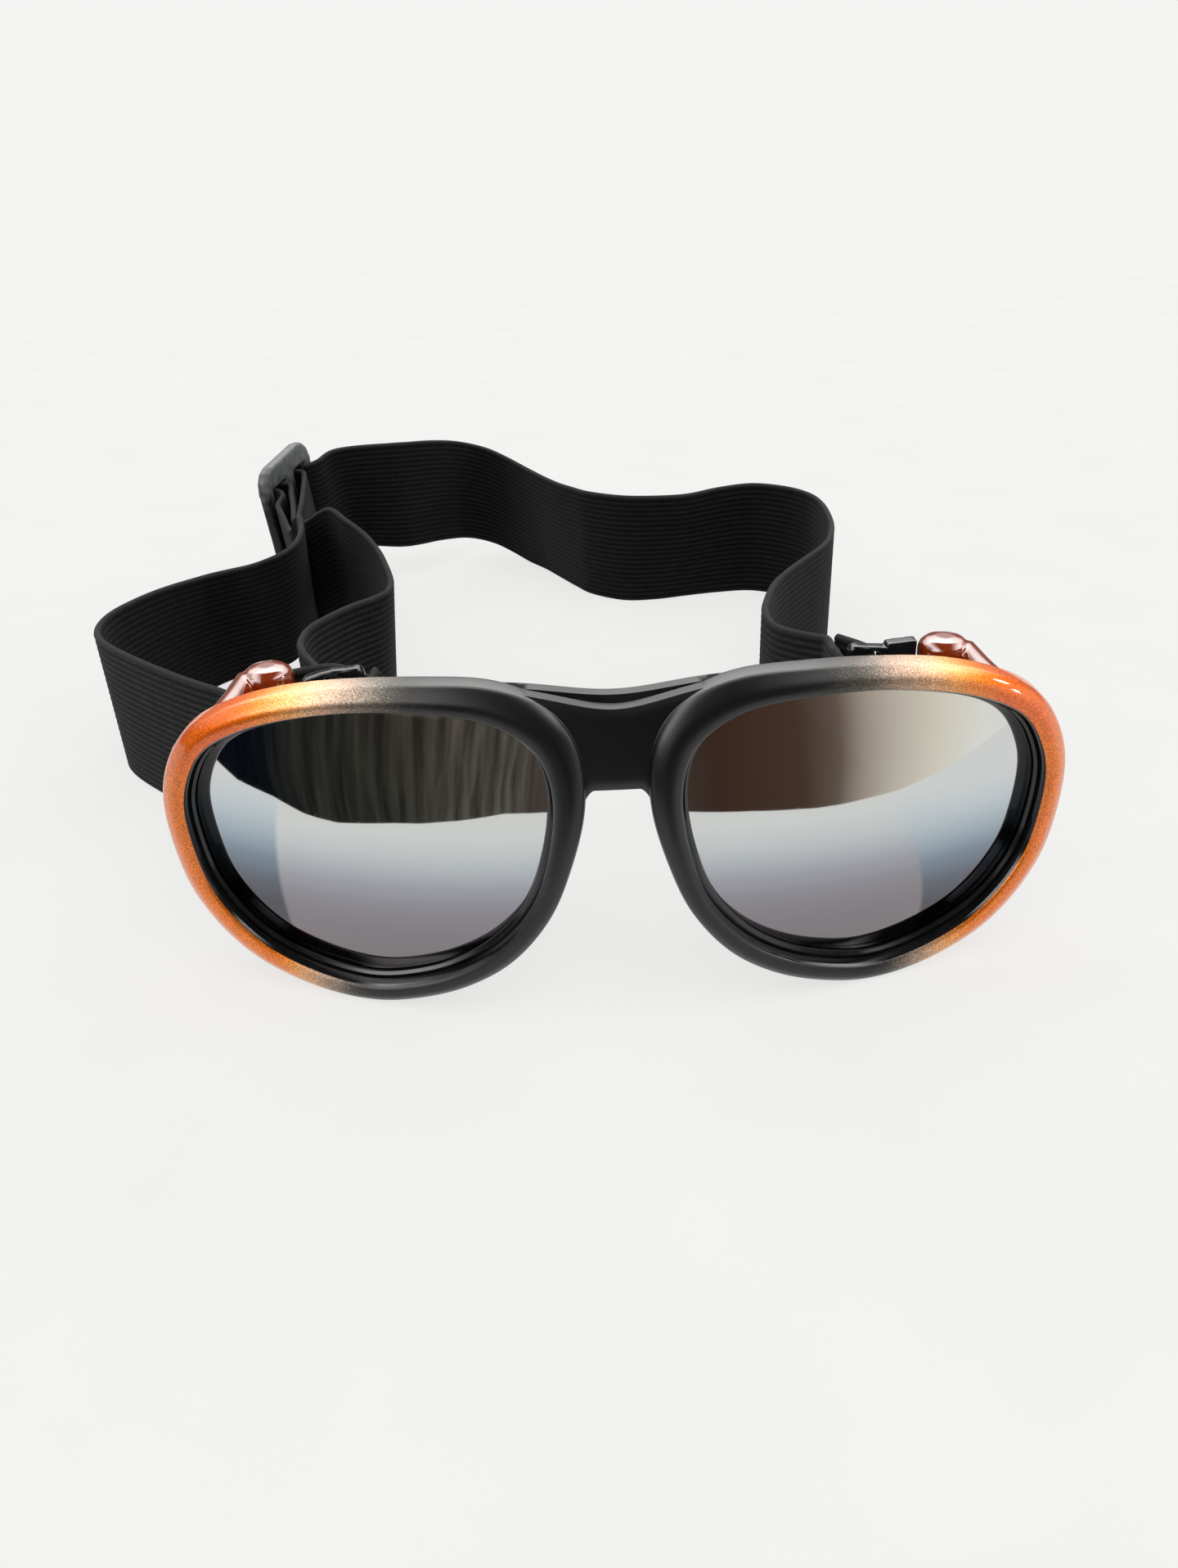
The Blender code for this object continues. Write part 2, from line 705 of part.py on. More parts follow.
def rounded_plate(name, outline, holes, thickness, rounding, place, collection, finish):
    """A plate with eased edges from flat outlines, put in the assembly by place()."""
    curve = bpy.data.curves.new(name + "_outline", "CURVE")
    curve.dimensions = "2D"
    curve.fill_mode = "BOTH"
    curve.extrude = thickness / 2
    for points in (outline, *holes):
        line = curve.splines.new("POLY")
        line.points.add(len(points) - 1)
        line.use_cyclic_u = True
        for spot, (x, y) in zip(line.points, points):
            spot.co = (x, y, 0.0, 1.0)
    flat = bpy.data.objects.new(name + "_flat", curve)
    collection.objects.link(flat)
    bpy.context.view_layer.update()
    graph = bpy.context.evaluated_depsgraph_get()
    mesh = bpy.data.meshes.new_from_object(flat.evaluated_get(graph))
    bpy.data.objects.remove(flat, do_unlink=True)
    shape = bmesh.new()
    shape.from_mesh(mesh)
    bpy.data.meshes.remove(mesh)
    bmesh.ops.remove_doubles(shape, verts=shape.verts, dist=SEAT_GAP / 100)
    bmesh.ops.dissolve_limit(
        shape, angle_limit=math.radians(1), verts=shape.verts, edges=shape.edges
    )
    bmesh.ops.recalc_face_normals(shape, faces=shape.faces)
    if rounding > 0:
        rims = [
            edge
            for edge in shape.edges
            if abs(edge.verts[0].co.z - edge.verts[1].co.z) < SEAT_GAP
            and len(edge.link_faces) == 2
            and abs(edge.calc_face_angle(0.0)) > math.radians(60)
        ]
        bmesh.ops.bevel(
            shape, geom=rims, offset=rounding, segments=2, profile=0.5, affect="EDGES"
        )
    for vertex in shape.verts:
        vertex.co = place(*vertex.co)
    return finish_mesh(name, shape, collection, finish)


def rounded_box(left, right, low, high, radius, steps=3):
    """Corner-rounded rectangle as points, anticlockwise."""
    centres = (
        (right - radius, high - radius, 0.0),
        (left + radius, high - radius, 0.5),
        (left + radius, low + radius, 1.0),
        (right - radius, low + radius, 1.5),
    )
    points = []
    for x, y, start in centres:
        for step in range(steps + 1):
            angle = math.pi * (start + 0.5 * step / steps)
            points.append((x + radius * math.cos(angle), y + radius * math.sin(angle)))
    return points


def with_waist(outline, dip):
    """Adds points to the upper edge of a rounded box, lowered towards its middle."""
    right = outline[3]
    left = outline[4]
    added = []
    for share, drop in ((0.25, 0.6), (0.5, 1.0), (0.75, 0.6)):
        across = right[0] + (left[0] - right[0]) * share
        added.append((across, right[1] - dip * drop))
    return outline[:4] + added + outline[4:]


def with_shoulder(outline, start, end, drop):
    """Pinches the upper and lower edges together towards the hinge."""
    heights = [height for _, height in outline]
    middle = (max(heights) + min(heights)) / 2
    points = []
    for across, height in outline:
        share = min(max((end - across) / (end - start), 0.0), 1.0)
        change = drop * share
        points.append((across, height - change if height > middle else height + change))
    return points


def clip_slot():
    """Start and end of the clip's slot, measured from the hinge axis."""
    start = CLIP_POST_START + CLIP_POST_WIDTH
    return start, start + CLIP_SLOT_WIDTH


def build_clip(side, collection, finish):
    """Knuckle, neck and strap loop, folded in from the hinge towards the middle."""
    name = "clip_right" if side > 0 else "clip_left"
    slot_start, slot_end = clip_slot()
    reach = slot_end + CLIP_BAR_WIDTH
    slot_top = CLIP_WEB_TOP + SEAT_GAP
    slot_low = CLIP_WEB_TOP - WEB_WIDTH - SEAT_GAP
    top = slot_top + CLIP_RAIL
    low = slot_low - CLIP_RAIL
    post = CLIP_POST_START
    outer = rounded_box(post, reach, low, top, CLIP_RAIL)
    slot = rounded_box(slot_start, slot_end, slot_low, slot_top, CLIP_SLOT_WIDTH / 4)
    outer = with_waist(outer, CLIP_WAIST)
    outer = with_shoulder(outer, post, slot_start, CLIP_SHOULDER)
    slot = with_waist(slot, 0.0)

    def folded(across, height, depth):
        return Vector((side * (HINGE_X - across), HINGE_Y + depth, height))

    half = CLIP_THICKNESS / 2
    easing = CLIP_THICKNESS / 6
    sections = []
    for edge, hole in zip(outer, slot):
        inward = (Vector(hole) - Vector(edge)).normalized() * easing
        eased_edge = Vector(edge) + inward
        eased_hole = Vector(hole) - inward
        sections.append(
            [
                folded(*eased_edge, -half),
                folded(*edge, easing - half),
                folded(*edge, half - easing),
                folded(*eased_edge, half),
                folded(*eased_hole, half),
                folded(*hole, half - easing),
                folded(*hole, easing - half),
                folded(*eased_hole, -half),
            ]
        )
    clip = finish_mesh(name, loft(sections, closed=True), collection, finish)
    axis = (side * HINGE_X, HINGE_Y)
    knuckle = cylinder(
        "clip_knuckle",
        CLIP_KNUCKLE_RADIUS,
        CLIP_KNUCKLE_BOTTOM,
        CLIP_KNUCKLE_TOP,
        axis,
        collection,
        finish,
    )
    ends = sorted((side * HINGE_X, side * (HINGE_X - post - CLIP_POST_WIDTH / 2)))
    neck_half = CLIP_THICKNESS * 0.4
    neck_inset = CLIP_THICKNESS * 0.2
    neck = box(
        "clip_neck",
        (ends[0], HINGE_Y - neck_half, CLIP_KNUCKLE_BOTTOM + neck_inset),
        (ends[1], HINGE_Y + neck_half, CLIP_KNUCKLE_TOP - neck_inset),
        collection,
        finish,
    )
    apply_boolean(clip, neck, "UNION")
    apply_boolean(clip, knuckle, "UNION")
    bore = cylinder(
        "clip_bore",
        PIN_RADIUS + SEAT_GAP,
        CLIP_KNUCKLE_BOTTOM - CUT_OVERRUN,
        CLIP_KNUCKLE_TOP + CUT_OVERRUN,
        axis,
        collection,
        None,
    )
    apply_boolean(clip, bore, "DIFFERENCE")
    move_origin(clip, Vector((side * HINGE_X, HINGE_Y, 0.0)))
    return clip


def move_origin(thing, place):
    """Puts an object's origin at a place and leaves its shape where it is."""
    for vertex in thing.data.vertices:
        vertex.co -= place
    thing.location = place


# The slider and the strap


def slider_frame():
    """The slider's centre, and its directions along, across (up) and outward."""
    heading = Vector((math.cos(SLIDER_HEADING), math.sin(SLIDER_HEADING), 0.0))
    up = Vector((0.0, 0.0, 1.0))
    along = heading * math.cos(SLIDER_TILT) + up * math.sin(SLIDER_TILT)
    across = up * math.cos(SLIDER_TILT) - heading * math.sin(SLIDER_TILT)
    outward = Vector((-heading.y, heading.x, 0.0))
    rounding = SLIDER_RAIL * (across.z + along.z - 1)
    lowest = slider_height() / 2 * across.z + SLIDER_LENGTH / 2 * along.z - rounding
    centre = Vector(
        (
            SLIDER_PLACE_SHARES[0] * LOOP_SPREAD,
            SLIDER_PLACE_SHARES[1] * LOOP_DEPTH,
            lowest,
        )
    )
    return centre, along, across, outward


def slider_height():
    return WEB_WIDTH + 2 * SEAT_GAP * 2 + 2 * SLIDER_RAIL


def build_slider(collection, finish):
    centre, along, across, outward = slider_frame()
    half = SLIDER_LENGTH / 2
    tall = slider_height() / 2
    slot_high = WEB_WIDTH / 2 + SEAT_GAP * 2
    near = SLIDER_BAR / 2
    far = near + SLIDER_SLOT
    outline = rounded_box(-half, half, -tall, tall, SLIDER_RAIL)
    corner = SLIDER_RAIL / 5
    slots = [
        rounded_box(-far, -near, -slot_high, slot_high, corner),
        rounded_box(near, far, -slot_high, slot_high, corner),
    ]

    def threaded(u, w, n):
        return centre + along * u + across * w + outward * n

    slider = rounded_plate(
        "slider",
        outline,
        slots,
        SLIDER_THICKNESS,
        SLIDER_EDGE_ROUND,
        threaded,
        collection,
        finish,
    )
    move_origin(slider, centre)
    return slider


def route_station(row):
    """A station from shares: the band's middle and its width direction."""
    across, back, rise, lean_x, lean_y = row
    wide = Vector((lean_x, lean_y, math.sqrt(1 - lean_x**2 - lean_y**2)))
    foot = rise * WEB_WIDTH
    top = Vector((across * LOOP_SPREAD, back * LOOP_DEPTH, foot + wide.z * WEB_WIDTH))
    return tuple(top - wide * (WEB_WIDTH / 2)) + tuple(wide)


def slider_station(u, n):
    """A station in the slider's plane of symmetry, u along and n outward."""
    centre, along, across, outward = slider_frame()
    return tuple(centre + along * u + outward * n) + tuple(across)


def clip_station(side, q, back, rise=0.0):
    """A station at the clip: q from the hinge axis towards the middle."""
    middle = CLIP_WEB_TOP - WEB_WIDTH / 2 - rise
    return (side * (HINGE_X - q), HINGE_Y + back, middle, 0.0, 0.0, 1.0)


def band(name, stations, collection, finish):
    """Flat webbing through stations, kept off the floor below it."""
    fine = spline(stations, 8, closed=False)
    fine[0] = towards(fine[0], fine[1], SEAT_GAP * 0.6)
    fine[-1] = towards(fine[-1], fine[-2], SEAT_GAP * 0.6)
    length = sum(math.dist(a[:3], b[:3]) for a, b in zip(fine, fine[1:]))
    count = max(8, round(length / WEB_STEP))
    rows = even_band(fine, count)
    sections = []
    for index, row in enumerate(rows):
        middle = Vector(row[:3])
        wide = Vector(row[3:]).normalized()
        before = Vector(rows[max(index - 1, 0)][:3])
        after = Vector(rows[min(index + 1, len(rows) - 1)][:3])
        facing = (after - before).cross(wide).normalized()
        low = middle - wide * (WEB_WIDTH / 2)
        high = middle + wide * (WEB_WIDTH / 2)
        half = facing * (WEB_THICKNESS / 2)
        section = [low - half, high - half, high + half, low + half]
        for point in section[:1] + section[3:]:
            point.z = max(point.z, 0.0)
        sections.append(section)
    return finish_mesh(name, loft(sections, closed=False), collection, finish)


def towards(row, goal, distance):
    """A station moved by a distance towards its neighbour."""
    t = distance / math.dist(row[:3], goal[:3])
    return tuple(a + (b - a) * t for a, b in zip(row, goal))


def even_band(rows, count):
    """Rows of six numbers, closer together where the route turns sharply."""
    weights = [0.0]
    for index in range(1, len(rows)):
        one = Vector(rows[index - 1][:3])
        two = Vector(rows[index][:3])
        turn = 0.0
        if index + 1 < len(rows):
            next_way = Vector(rows[index + 1][:3]) - two
            turn = (two - one).angle(next_way, 0.0)
        weights.append(weights[-1] + (two - one).length / WEB_STEP + turn * 2.0)
    total = weights[-1]
    count = max(count, round(total))
    found = []
    place = 0
    for index in range(count + 1):
        wanted = total * index / count
        while place < len(rows) - 2 and weights[place + 1] < wanted:
            place += 1
        t = (wanted - weights[place]) / (weights[place + 1] - weights[place])
        found.append(tuple(a + (b - a) * t for a, b in zip(rows[place], rows[place + 1])))
    return found


def round_the_bar(side, first):
    """Stations of the webbing's fold round a clip's bar, from its slot outward."""
    _, slot_end = clip_slot()
    clear = WEB_THICKNESS / 2 + SEAT_GAP * 2
    slot_side = slot_end - clear
    far_side = slot_end + CLIP_BAR_WIDTH + clear
    front = -(CLIP_THICKNESS / 2 + clear)
    middle = (slot_side + far_side) / 2
    fold = [
        clip_station(side, slot_side, -front),
        clip_station(side, slot_side, 0.0),
        clip_station(side, slot_side + clear / 2, front * 0.86),
        clip_station(side, middle, front * 1.08),
        clip_station(side, far_side - clear / 2, front * 0.86),
        clip_station(side, far_side, 0.0),
        clip_station(side, far_side, -front),
    ]
    return fold if first == "slot" else fold[::-1]


def right_run_stations():
    """Sewn return ply, fold round the bar, then the run back to the right bend."""
    free = [route_station(row) for row in RIGHT_RUN_SHARES]
    lay = WEB_THICKNESS + SEAT_GAP
    _, slot_end = clip_slot()
    clear = WEB_THICKNESS / 2 + SEAT_GAP
    first = free[0]
    tail = (first[0] + lay * 1.1, first[1] + lay / 2, first[2], 0.0, 0.0, 1.0)
    swell = clip_station(1, slot_end - clear * 1.3, CLIP_THICKNESS * 2.4, 0.0008)
    leave = clip_station(1, slot_end + CLIP_BAR_WIDTH + clear, CLIP_THICKNESS * 2.4, 0.0010)
    return [tail, swell] + round_the_bar(1, "slot") + [leave] + free


def left_loop_stations():
    """From the left bend past the hinge, round the clip's bar and on to the inner bend."""
    behind = HINGE_Y + KNUCKLE_RADIUS + WEB_THICKNESS / 2 + SEAT_GAP * 4
    drop = CLIP_WEB_TOP - WEB_WIDTH
    _, slot_end = clip_slot()
    clear = WEB_THICKNESS / 2 + SEAT_GAP
    shares = ((1.30, 0.05, 0.0), (0.90, 0.30, 1.0), (0.0, 0.60, 1.6), (-1.25, 0.85, 1.0))
    past = []
    for aside, climb, back in shares:
        past.append(
            (
                -(HINGE_X + aside * KNUCKLE_RADIUS * 1.5),
                behind + back * WEB_THICKNESS / 2,
                WEB_WIDTH / 2 + drop * climb,
                0.0,
                0.0,
                1.0,
            )
        )
    slot = clip_station(-1, slot_end - clear * 1.6, CLIP_THICKNESS * 1.6)
    leave = clip_station(-1, slot_end + CLIP_BAR_WIDTH + clear, CLIP_THICKNESS * 1.6, 0.0020)
    outer = [route_station(row) for row in LEFT_OUTER_LEG_SHARES]
    inner = [route_station(row) for row in LEFT_INNER_LEG_SHARES]
    return outer + past + [slot] + round_the_bar(-1, "slot") + [leave] + inner


def slider_crossings():
    """The strap's places at the slider: sewn loop round the bar, and band over it."""
    clear = WEB_THICKNESS / 2 + SEAT_GAP * 2
    bar = SLIDER_BAR / 2 + clear
    face = SLIDER_THICKNESS / 2 + clear
    over = face + WEB_THICKNESS + SEAT_GAP
    outer = SLIDER_BAR / 2 + SLIDER_SLOT - clear - SEAT_GAP
    return bar, face, over, outer


def outer_run_stations():
    """From the left bend, in through the near slot and over the bar to the far slot."""
    bar, face, over, outer = slider_crossings()
    free = [route_station(row) for row in OUTER_RUN_SHARES]
    length = SLIDER_LENGTH
    through = [
        slider_station(-length * 1.16, -length * 0.62),
        slider_station(-length * 0.83, -length * 0.365),
        slider_station(-length * 0.62, -length * 0.215),
        slider_station(-length * 0.405, -length * 0.165),
        slider_station(-outer, -face * 0.5),
        slider_station(-outer + face * 0.2, face * 0.8),
        slider_station(-bar, over),
        slider_station(0.0, over + SEAT_GAP),
        slider_station(bar, over),
        slider_station(outer - face * 0.2, face * 0.8),
        slider_station(outer, -face * 0.5),
    ]
    return free + through


def back_band_stations():
    """From the right bend round the back to the slider's far slot."""
    _, face, _, outer = slider_crossings()
    free = [route_station(row) for row in BACK_BAND_SHARES]
    end = [
        slider_station(SLIDER_LENGTH / 2 + face * 2.0, -face * 2.4),
        slider_station(outer + face, -face * 1.5),
    ]
    return free + end


def inner_run_stations():
    """From the inner bend to the sewn loop round the slider's centre bar."""
    bar, face, _, _ = slider_crossings()
    free = [route_station(row) for row in INNER_RUN_SHARES]
    length = SLIDER_LENGTH
    loop = [
        slider_station(-length * 1.02, -length * 0.640),
        slider_station(-length * 0.50, -length * 0.420),
        slider_station(-length * 0.05, -length * 0.230),
        slider_station(bar * 1.05, -face * 1.1),
        slider_station(bar, face * 0.4),
        slider_station(bar * 0.55, face),
        slider_station(-bar * 0.55, face),
        slider_station(-bar, face * 0.4),
        slider_station(-bar * 1.05, -face * 1.1),
        slider_station(-length * 0.36, -length * 0.235),
        slider_station(-length * 0.62, -length * 0.380),
        slider_station(-length * 0.95, -length * 0.545),
    ]
    return free + loop


# Assembly


def centre_on_base(things):
    """Moves the assembly so that the origin is the middle of its footprint."""
    bpy.context.view_layer.update()
    spots = [
        thing.matrix_world @ vertex.co for thing in things for vertex in thing.data.vertices
    ]
    low = Vector([min(spot[axis] for spot in spots) for axis in range(3)])
    high = Vector([max(spot[axis] for spot in spots) for axis in range(3)])
    middle = (low + high) / 2
    shift = Vector((-middle.x, -middle.y, -low.z))
    for thing in things:
        thing.location += shift
    bpy.context.view_layer.update()
    print("origin moved by", [round(value, 5) for value in shift])


def build():
    clear_scene()
    parts = new_collection(COLLECTION_NAME)
    fade = material("fade_paint", (0.02, 0.02, 0.022), 0.35, 0.2)
    black = material("gloss_black", (0.012, 0.012, 0.013), 0.15)
    mirror = material("smoke_mirror_lens", (0.16, 0.16, 0.18), 0.05, 0.6)
    orange = material("gloss_orange", (0.60, 0.10, 0.02), 0.12, 0.3)
    steel = material("screw_steel", (0.55, 0.55, 0.55), 0.3, 1.0)
    plastic = material("slider_plastic", (0.03, 0.032, 0.035), 0.45)
    webbing = material("black_elastic", (0.012, 0.012, 0.013), 0.9)

    things = [build_front_frame(parts, fade), build_inner_frame(parts, black)]
    for side in (-1, 1):
        things.append(build_lens(side, parts, mirror))
        things.append(build_arm(side, parts, orange))
        things.append(build_hinge_screw(side, parts, steel))
        things.append(build_clip(side, parts, black))
    things.append(build_slider(parts, plastic))
    runs = (
        ("strap_right_run", right_run_stations()),
        ("strap_back_band", back_band_stations()),
        ("strap_outer_run", outer_run_stations()),
        ("strap_left_loop", left_loop_stations()),
        ("strap_inner_run", inner_run_stations()),
    )
    for name, stations in runs:
        things.append(band(name, stations, parts, webbing))
    centre_on_base(things)


build()
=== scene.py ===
"""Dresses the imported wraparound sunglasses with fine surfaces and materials.

The frame, lenses and strap are rebuilt on the CAD nodes' own sizes with closer
meshes, and every piece gets a procedural material. Lengths are in metres and in
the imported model's frame. The hinge screws give the point they are measured from.
"""

import math

import bmesh
import bpy
from mathutils import Matrix, Vector


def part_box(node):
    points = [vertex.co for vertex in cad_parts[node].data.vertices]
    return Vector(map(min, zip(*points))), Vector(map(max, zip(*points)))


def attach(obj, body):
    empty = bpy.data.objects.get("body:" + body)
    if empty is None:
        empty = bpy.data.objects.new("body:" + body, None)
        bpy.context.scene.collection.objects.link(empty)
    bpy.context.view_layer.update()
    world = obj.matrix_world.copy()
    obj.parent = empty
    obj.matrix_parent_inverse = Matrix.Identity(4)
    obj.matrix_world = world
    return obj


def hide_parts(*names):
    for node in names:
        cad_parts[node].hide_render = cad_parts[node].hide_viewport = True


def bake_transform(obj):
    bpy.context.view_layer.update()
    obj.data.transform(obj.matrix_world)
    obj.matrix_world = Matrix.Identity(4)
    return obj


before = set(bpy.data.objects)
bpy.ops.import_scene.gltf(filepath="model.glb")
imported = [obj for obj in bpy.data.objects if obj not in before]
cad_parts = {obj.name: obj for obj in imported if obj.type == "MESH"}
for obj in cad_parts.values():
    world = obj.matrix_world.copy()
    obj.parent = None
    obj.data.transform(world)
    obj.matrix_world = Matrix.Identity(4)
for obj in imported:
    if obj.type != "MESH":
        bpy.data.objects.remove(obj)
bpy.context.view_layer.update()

# The same sizes as the CAD's
SEAT_GAP = 0.0003
EYE_CENTRE_X = 0.0347
EYE_CENTRE_Z = 0.0251
EYE_HALF_WIDTH = 0.0262
EYE_HALF_HEIGHT = 0.0219
RIM_WIDTH = 0.0044
WRAP_RADIUS = 0.144
BOW_RADIUS = 0.110
RAKE = math.radians(2.0)
RIM_CROWN = 0.0019
LIP_DEPTH = 0.0024
SKIRT_DEPTH = 0.0040
SKIRT_WALL = 0.0011
BRIDGE_RECESS = 0.0017
LINING = 0.0008
GROOVE_DEPTH = 0.0009
GROOVE_FRONT = 0.0035
GROOVE_BACK = 0.0058
REAR_LIP = 0.0003
FLANGE_INSET = 0.0003
FLANGE_TAPER = 0.0010
INNER_BACK = 0.0066
BRIDGE_TOP = 0.0473
BRIDGE_TOP_RISE = 0.0026
BRIDGE_BOTTOM = 0.0366
BRIDGE_CORNER = 0.0026
INNER_BRIDGE_LIFT = 0.0008
LENS_BULGE = 0.0012
HINGE_X = 0.0562
HINGE_Y = 0.0495
KNUCKLE_RADIUS = 0.0042
WEB_WIDTH = 0.0300
WEB_THICKNESS = 0.0014
CLIP_THICKNESS = 0.0026
CLIP_POST_START = 0.0050
CLIP_POST_WIDTH = 0.0047
CLIP_SLOT_WIDTH = 0.0035
CLIP_BAR_WIDTH = 0.0028
CLIP_WEB_TOP = 0.0352
CLIP_RAIL = 0.0012
SLIDER_LENGTH = 0.0260
SLIDER_RAIL = 0.0052
SLIDER_THICKNESS = 0.0030
SLIDER_BAR = 0.0050
SLIDER_SLOT = 0.0070
SLIDER_TILT = math.radians(10.0)
SLIDER_HEADING = math.radians(74.3)
LOOP_SPREAD = 0.100
LOOP_DEPTH = 0.200

# Closer meshes than the CAD's
RIM_STATIONS = 220
OUTLINE_STEPS = 24
FACE_STEPS = 4
BRIDGE_COLUMNS = 64
BRIDGE_ROWS = 20
LENS_STATIONS = 160
LENS_RINGS = 18
LENS_CORE = 0.02
ROUTE_STEPS = 14
WEB_STEP = 0.0016
TURN_WEIGHT = 4.0
WEB_RIBS = 22
RIB_POINTS = 4
RIB_HEIGHT = 0.00011
WEB_EDGE_SHARE = 0.10
ARM_GRAIN = 0.00028
CLIP_GRAIN = 0.00022
SLIDER_GRAIN = 0.00025

# The bridge panel: where its foot turns down, its eased edges, and how far the
# lifted top of the inner one falls back at the rims
BRIDGE_TURN = 0.62
BRIDGE_EASE = 0.25
INNER_TOP_FALL = 2.2

# The paint's fade, out from the middle: its start and end low and high, the
# cloudy and the dotted spray, and the shift between left and right
LOOK_TOP = 0.050
FADE_START = (0.0365, 0.0234)
FADE_END = (0.0540, 0.0515)
FADE_CLOUD = 0.0020
FADE_DOTS = 0.0035
FADE_SHIFT = 0.0011

# A bluer painted reflection of the room's darker sides on the outer part of the left and the
# right lens, in place of their mirror coat
PAINTED_SIDE_REFLECTION_LIFT = (-0.0022, 0.0022)
PAINTED_SIDE_REFLECTION_MIDDLE = (0.0165, 0.0095)
PAINTED_SIDE_REFLECTION_CURVE = (7.3, 15.6)
PAINTED_SIDE_REFLECTION_START = (0.0489, 0.0445)

# The webbing's cross threads, the floor, the paper's near edge that mirrors see
# (its width and its furthest reach), and the soft light from above
THREAD_PITCH = 0.00062
FLOOR_SIZE = 80.0
FLOOR_DROP = 0.00005
PAPER_SPAN = 0.50
PAPER_REACH = 0.20
LAMP_TOWARDS = (0.091, -0.429, 0.899)

# The camera: metres from the origin, degrees down and rolled, and its lens
CAMERA_PLACE = (-0.00367, -0.12485, 0.1094)
CAMERA_DOWN = 29.1
CAMERA_ROLL = -2.5
SENSOR_WIDTH = 36.0
FOCAL_PIXELS = 1384
PICTURE_PIXELS = 1916

# Across, up and rim width, in half widths, half heights and RIM_WIDTH
OPENING_SHARES = (
    (1.018, 0.132, 0.90),
    (0.974, -0.283, 0.95),
    (0.873, -0.539, 1.00),
    (0.730, -0.735, 1.02),
    (0.573, -0.858, 0.98),
    (0.332, -0.963, 0.91),
    (0.084, -1.000, 0.82),
    (-0.168, -0.936, 0.77),
    (-0.420, -0.804, 0.75),
    (-0.656, -0.589, 0.73),
    (-0.855, -0.274, 0.68),
    (-0.958, 0.087, 0.77),
    (-1.000, 0.429, 0.95),
    (-0.966, 0.689, 1.14),
    (-0.866, 0.845, 1.22),
    (-0.676, 0.962, 1.03),
    (-0.389, 1.006, 0.85),
    (-0.027, 0.996, 0.77),
    (0.317, 0.927, 0.79),
    (0.611, 0.812, 0.79),
    (0.840, 0.645, 0.82),
    (0.972, 0.400, 0.87),
)

# Out from the opening, and down from the crown
RIM_FACE_SHARES = (
    (0.00, 0.62),
    (0.10, 0.28),
    (0.30, 0.05),
    (0.55, 0.00),
    (0.80, 0.22),
    (0.94, 0.47),
    (1.00, 0.76),
)

# The strap's routes: its top edge across and back, then the lower edge's height and
# the lean, where they are not zero
RIGHT_RUN_SHARES = (
    (0.397, 0.309, 0.110),
    (0.387, 0.323, 0.085),
    (0.355, 0.349, 0.050),
    (0.333, 0.375, 0.020),
    (0.324, 0.399, 0.003),
    (0.323, 0.424),
    (0.334, 0.452),
    (0.363, 0.499),
    (0.404, 0.539),
    (0.462, 0.583),
    (0.508, 0.617),
    (0.544, 0.653),
    (0.569, 0.701),
    (0.582, 0.752),
)
BACK_BAND_SHARES = (
    (0.582, 0.752),
    (0.584, 0.805),
    (0.567, 0.845, 0.000, 0.00, 0.01),
    (0.520, 0.880, 0.000, 0.00, 0.02),
    (0.440, 0.903, 0.000, 0.00, 0.02),
    (0.348, 0.891, 0.000, 0.00, -0.05),
    (0.256, 0.869, 0.000, 0.00, -0.14),
    (0.169, 0.864, 0.000, 0.00, -0.11),
    (0.083, 0.871, 0.000, 0.00, -0.08),
    (-0.002, 0.899, 0.000, 0.00, -0.10),
    (-0.046, 0.928, 0.000, 0.00, -0.14),
    (-0.091, 0.964, 0.000, 0.00, -0.18),
    (-0.138, 1.009, 0.000, 0.00, -0.17),
    (-0.188, 1.055, 0.007, 0.00, -0.10),
    (-0.240, 1.088, 0.050, 0.00, -0.08),
    (-0.290, 1.103, 0.110, 0.00, -0.08),
    (-0.340, 1.104, 0.165, 0.00, -0.08),
    (-0.385, 1.090, 0.220, 0.00, -0.08),
    (-0.425, 1.068, 0.265, 0.00, -0.06),
    (-0.466, 1.046, 0.298, 0.00, -0.04),
    (-0.510, 1.028, 0.318),
    (-0.560, 1.013, 0.335),
    (-0.630, 0.999, 0.355, -0.02, -0.04),
)
OUTER_RUN_SHARES = (
    (-1.018, 0.480),
    (-1.012, 0.508, 0.000, 0.01, -0.04),
    (-0.993, 0.537, 0.000, 0.02, -0.09),
    (-0.970, 0.565, 0.000, 0.02, -0.15),
    (-0.943, 0.592, 0.000, 0.01, -0.22),
    (-0.912, 0.614, 0.000, 0.00, -0.26),
    (-0.878, 0.627, 0.008, 0.01, -0.27),
    (-0.835, 0.631, 0.028, 0.03, -0.27),
    (-0.786, 0.626, 0.065, 0.06, -0.26),
    (-0.742, 0.622, 0.108, 0.09, -0.23),
    (-0.708, 0.627, 0.142, 0.12, -0.20),
    (-0.686, 0.644, 0.168, 0.14, -0.17),
    (-0.680, 0.668, 0.190, 0.12, -0.15),
    (-0.688, 0.697, 0.205, 0.08, -0.15),
    (-0.709, 0.733, 0.218, 0.04, -0.16),
)
LEFT_OUTER_LEG_SHARES = (
    (-1.018, 0.480),
    (-1.009, 0.453),
    (-0.985, 0.428),
    (-0.945, 0.404),
    (-0.889, 0.377),
    (-0.838, 0.354),
    (-0.784, 0.331),
    (-0.728, 0.309),
    (-0.680, 0.291, 0.005),
)
LEFT_INNER_LEG_SHARES = (
    (-0.468, 0.296, 0.055),
    (-0.505, 0.320, 0.012),
    (-0.543, 0.352),
    (-0.570, 0.380),
    (-0.580, 0.404),
    (-0.576, 0.434),
)
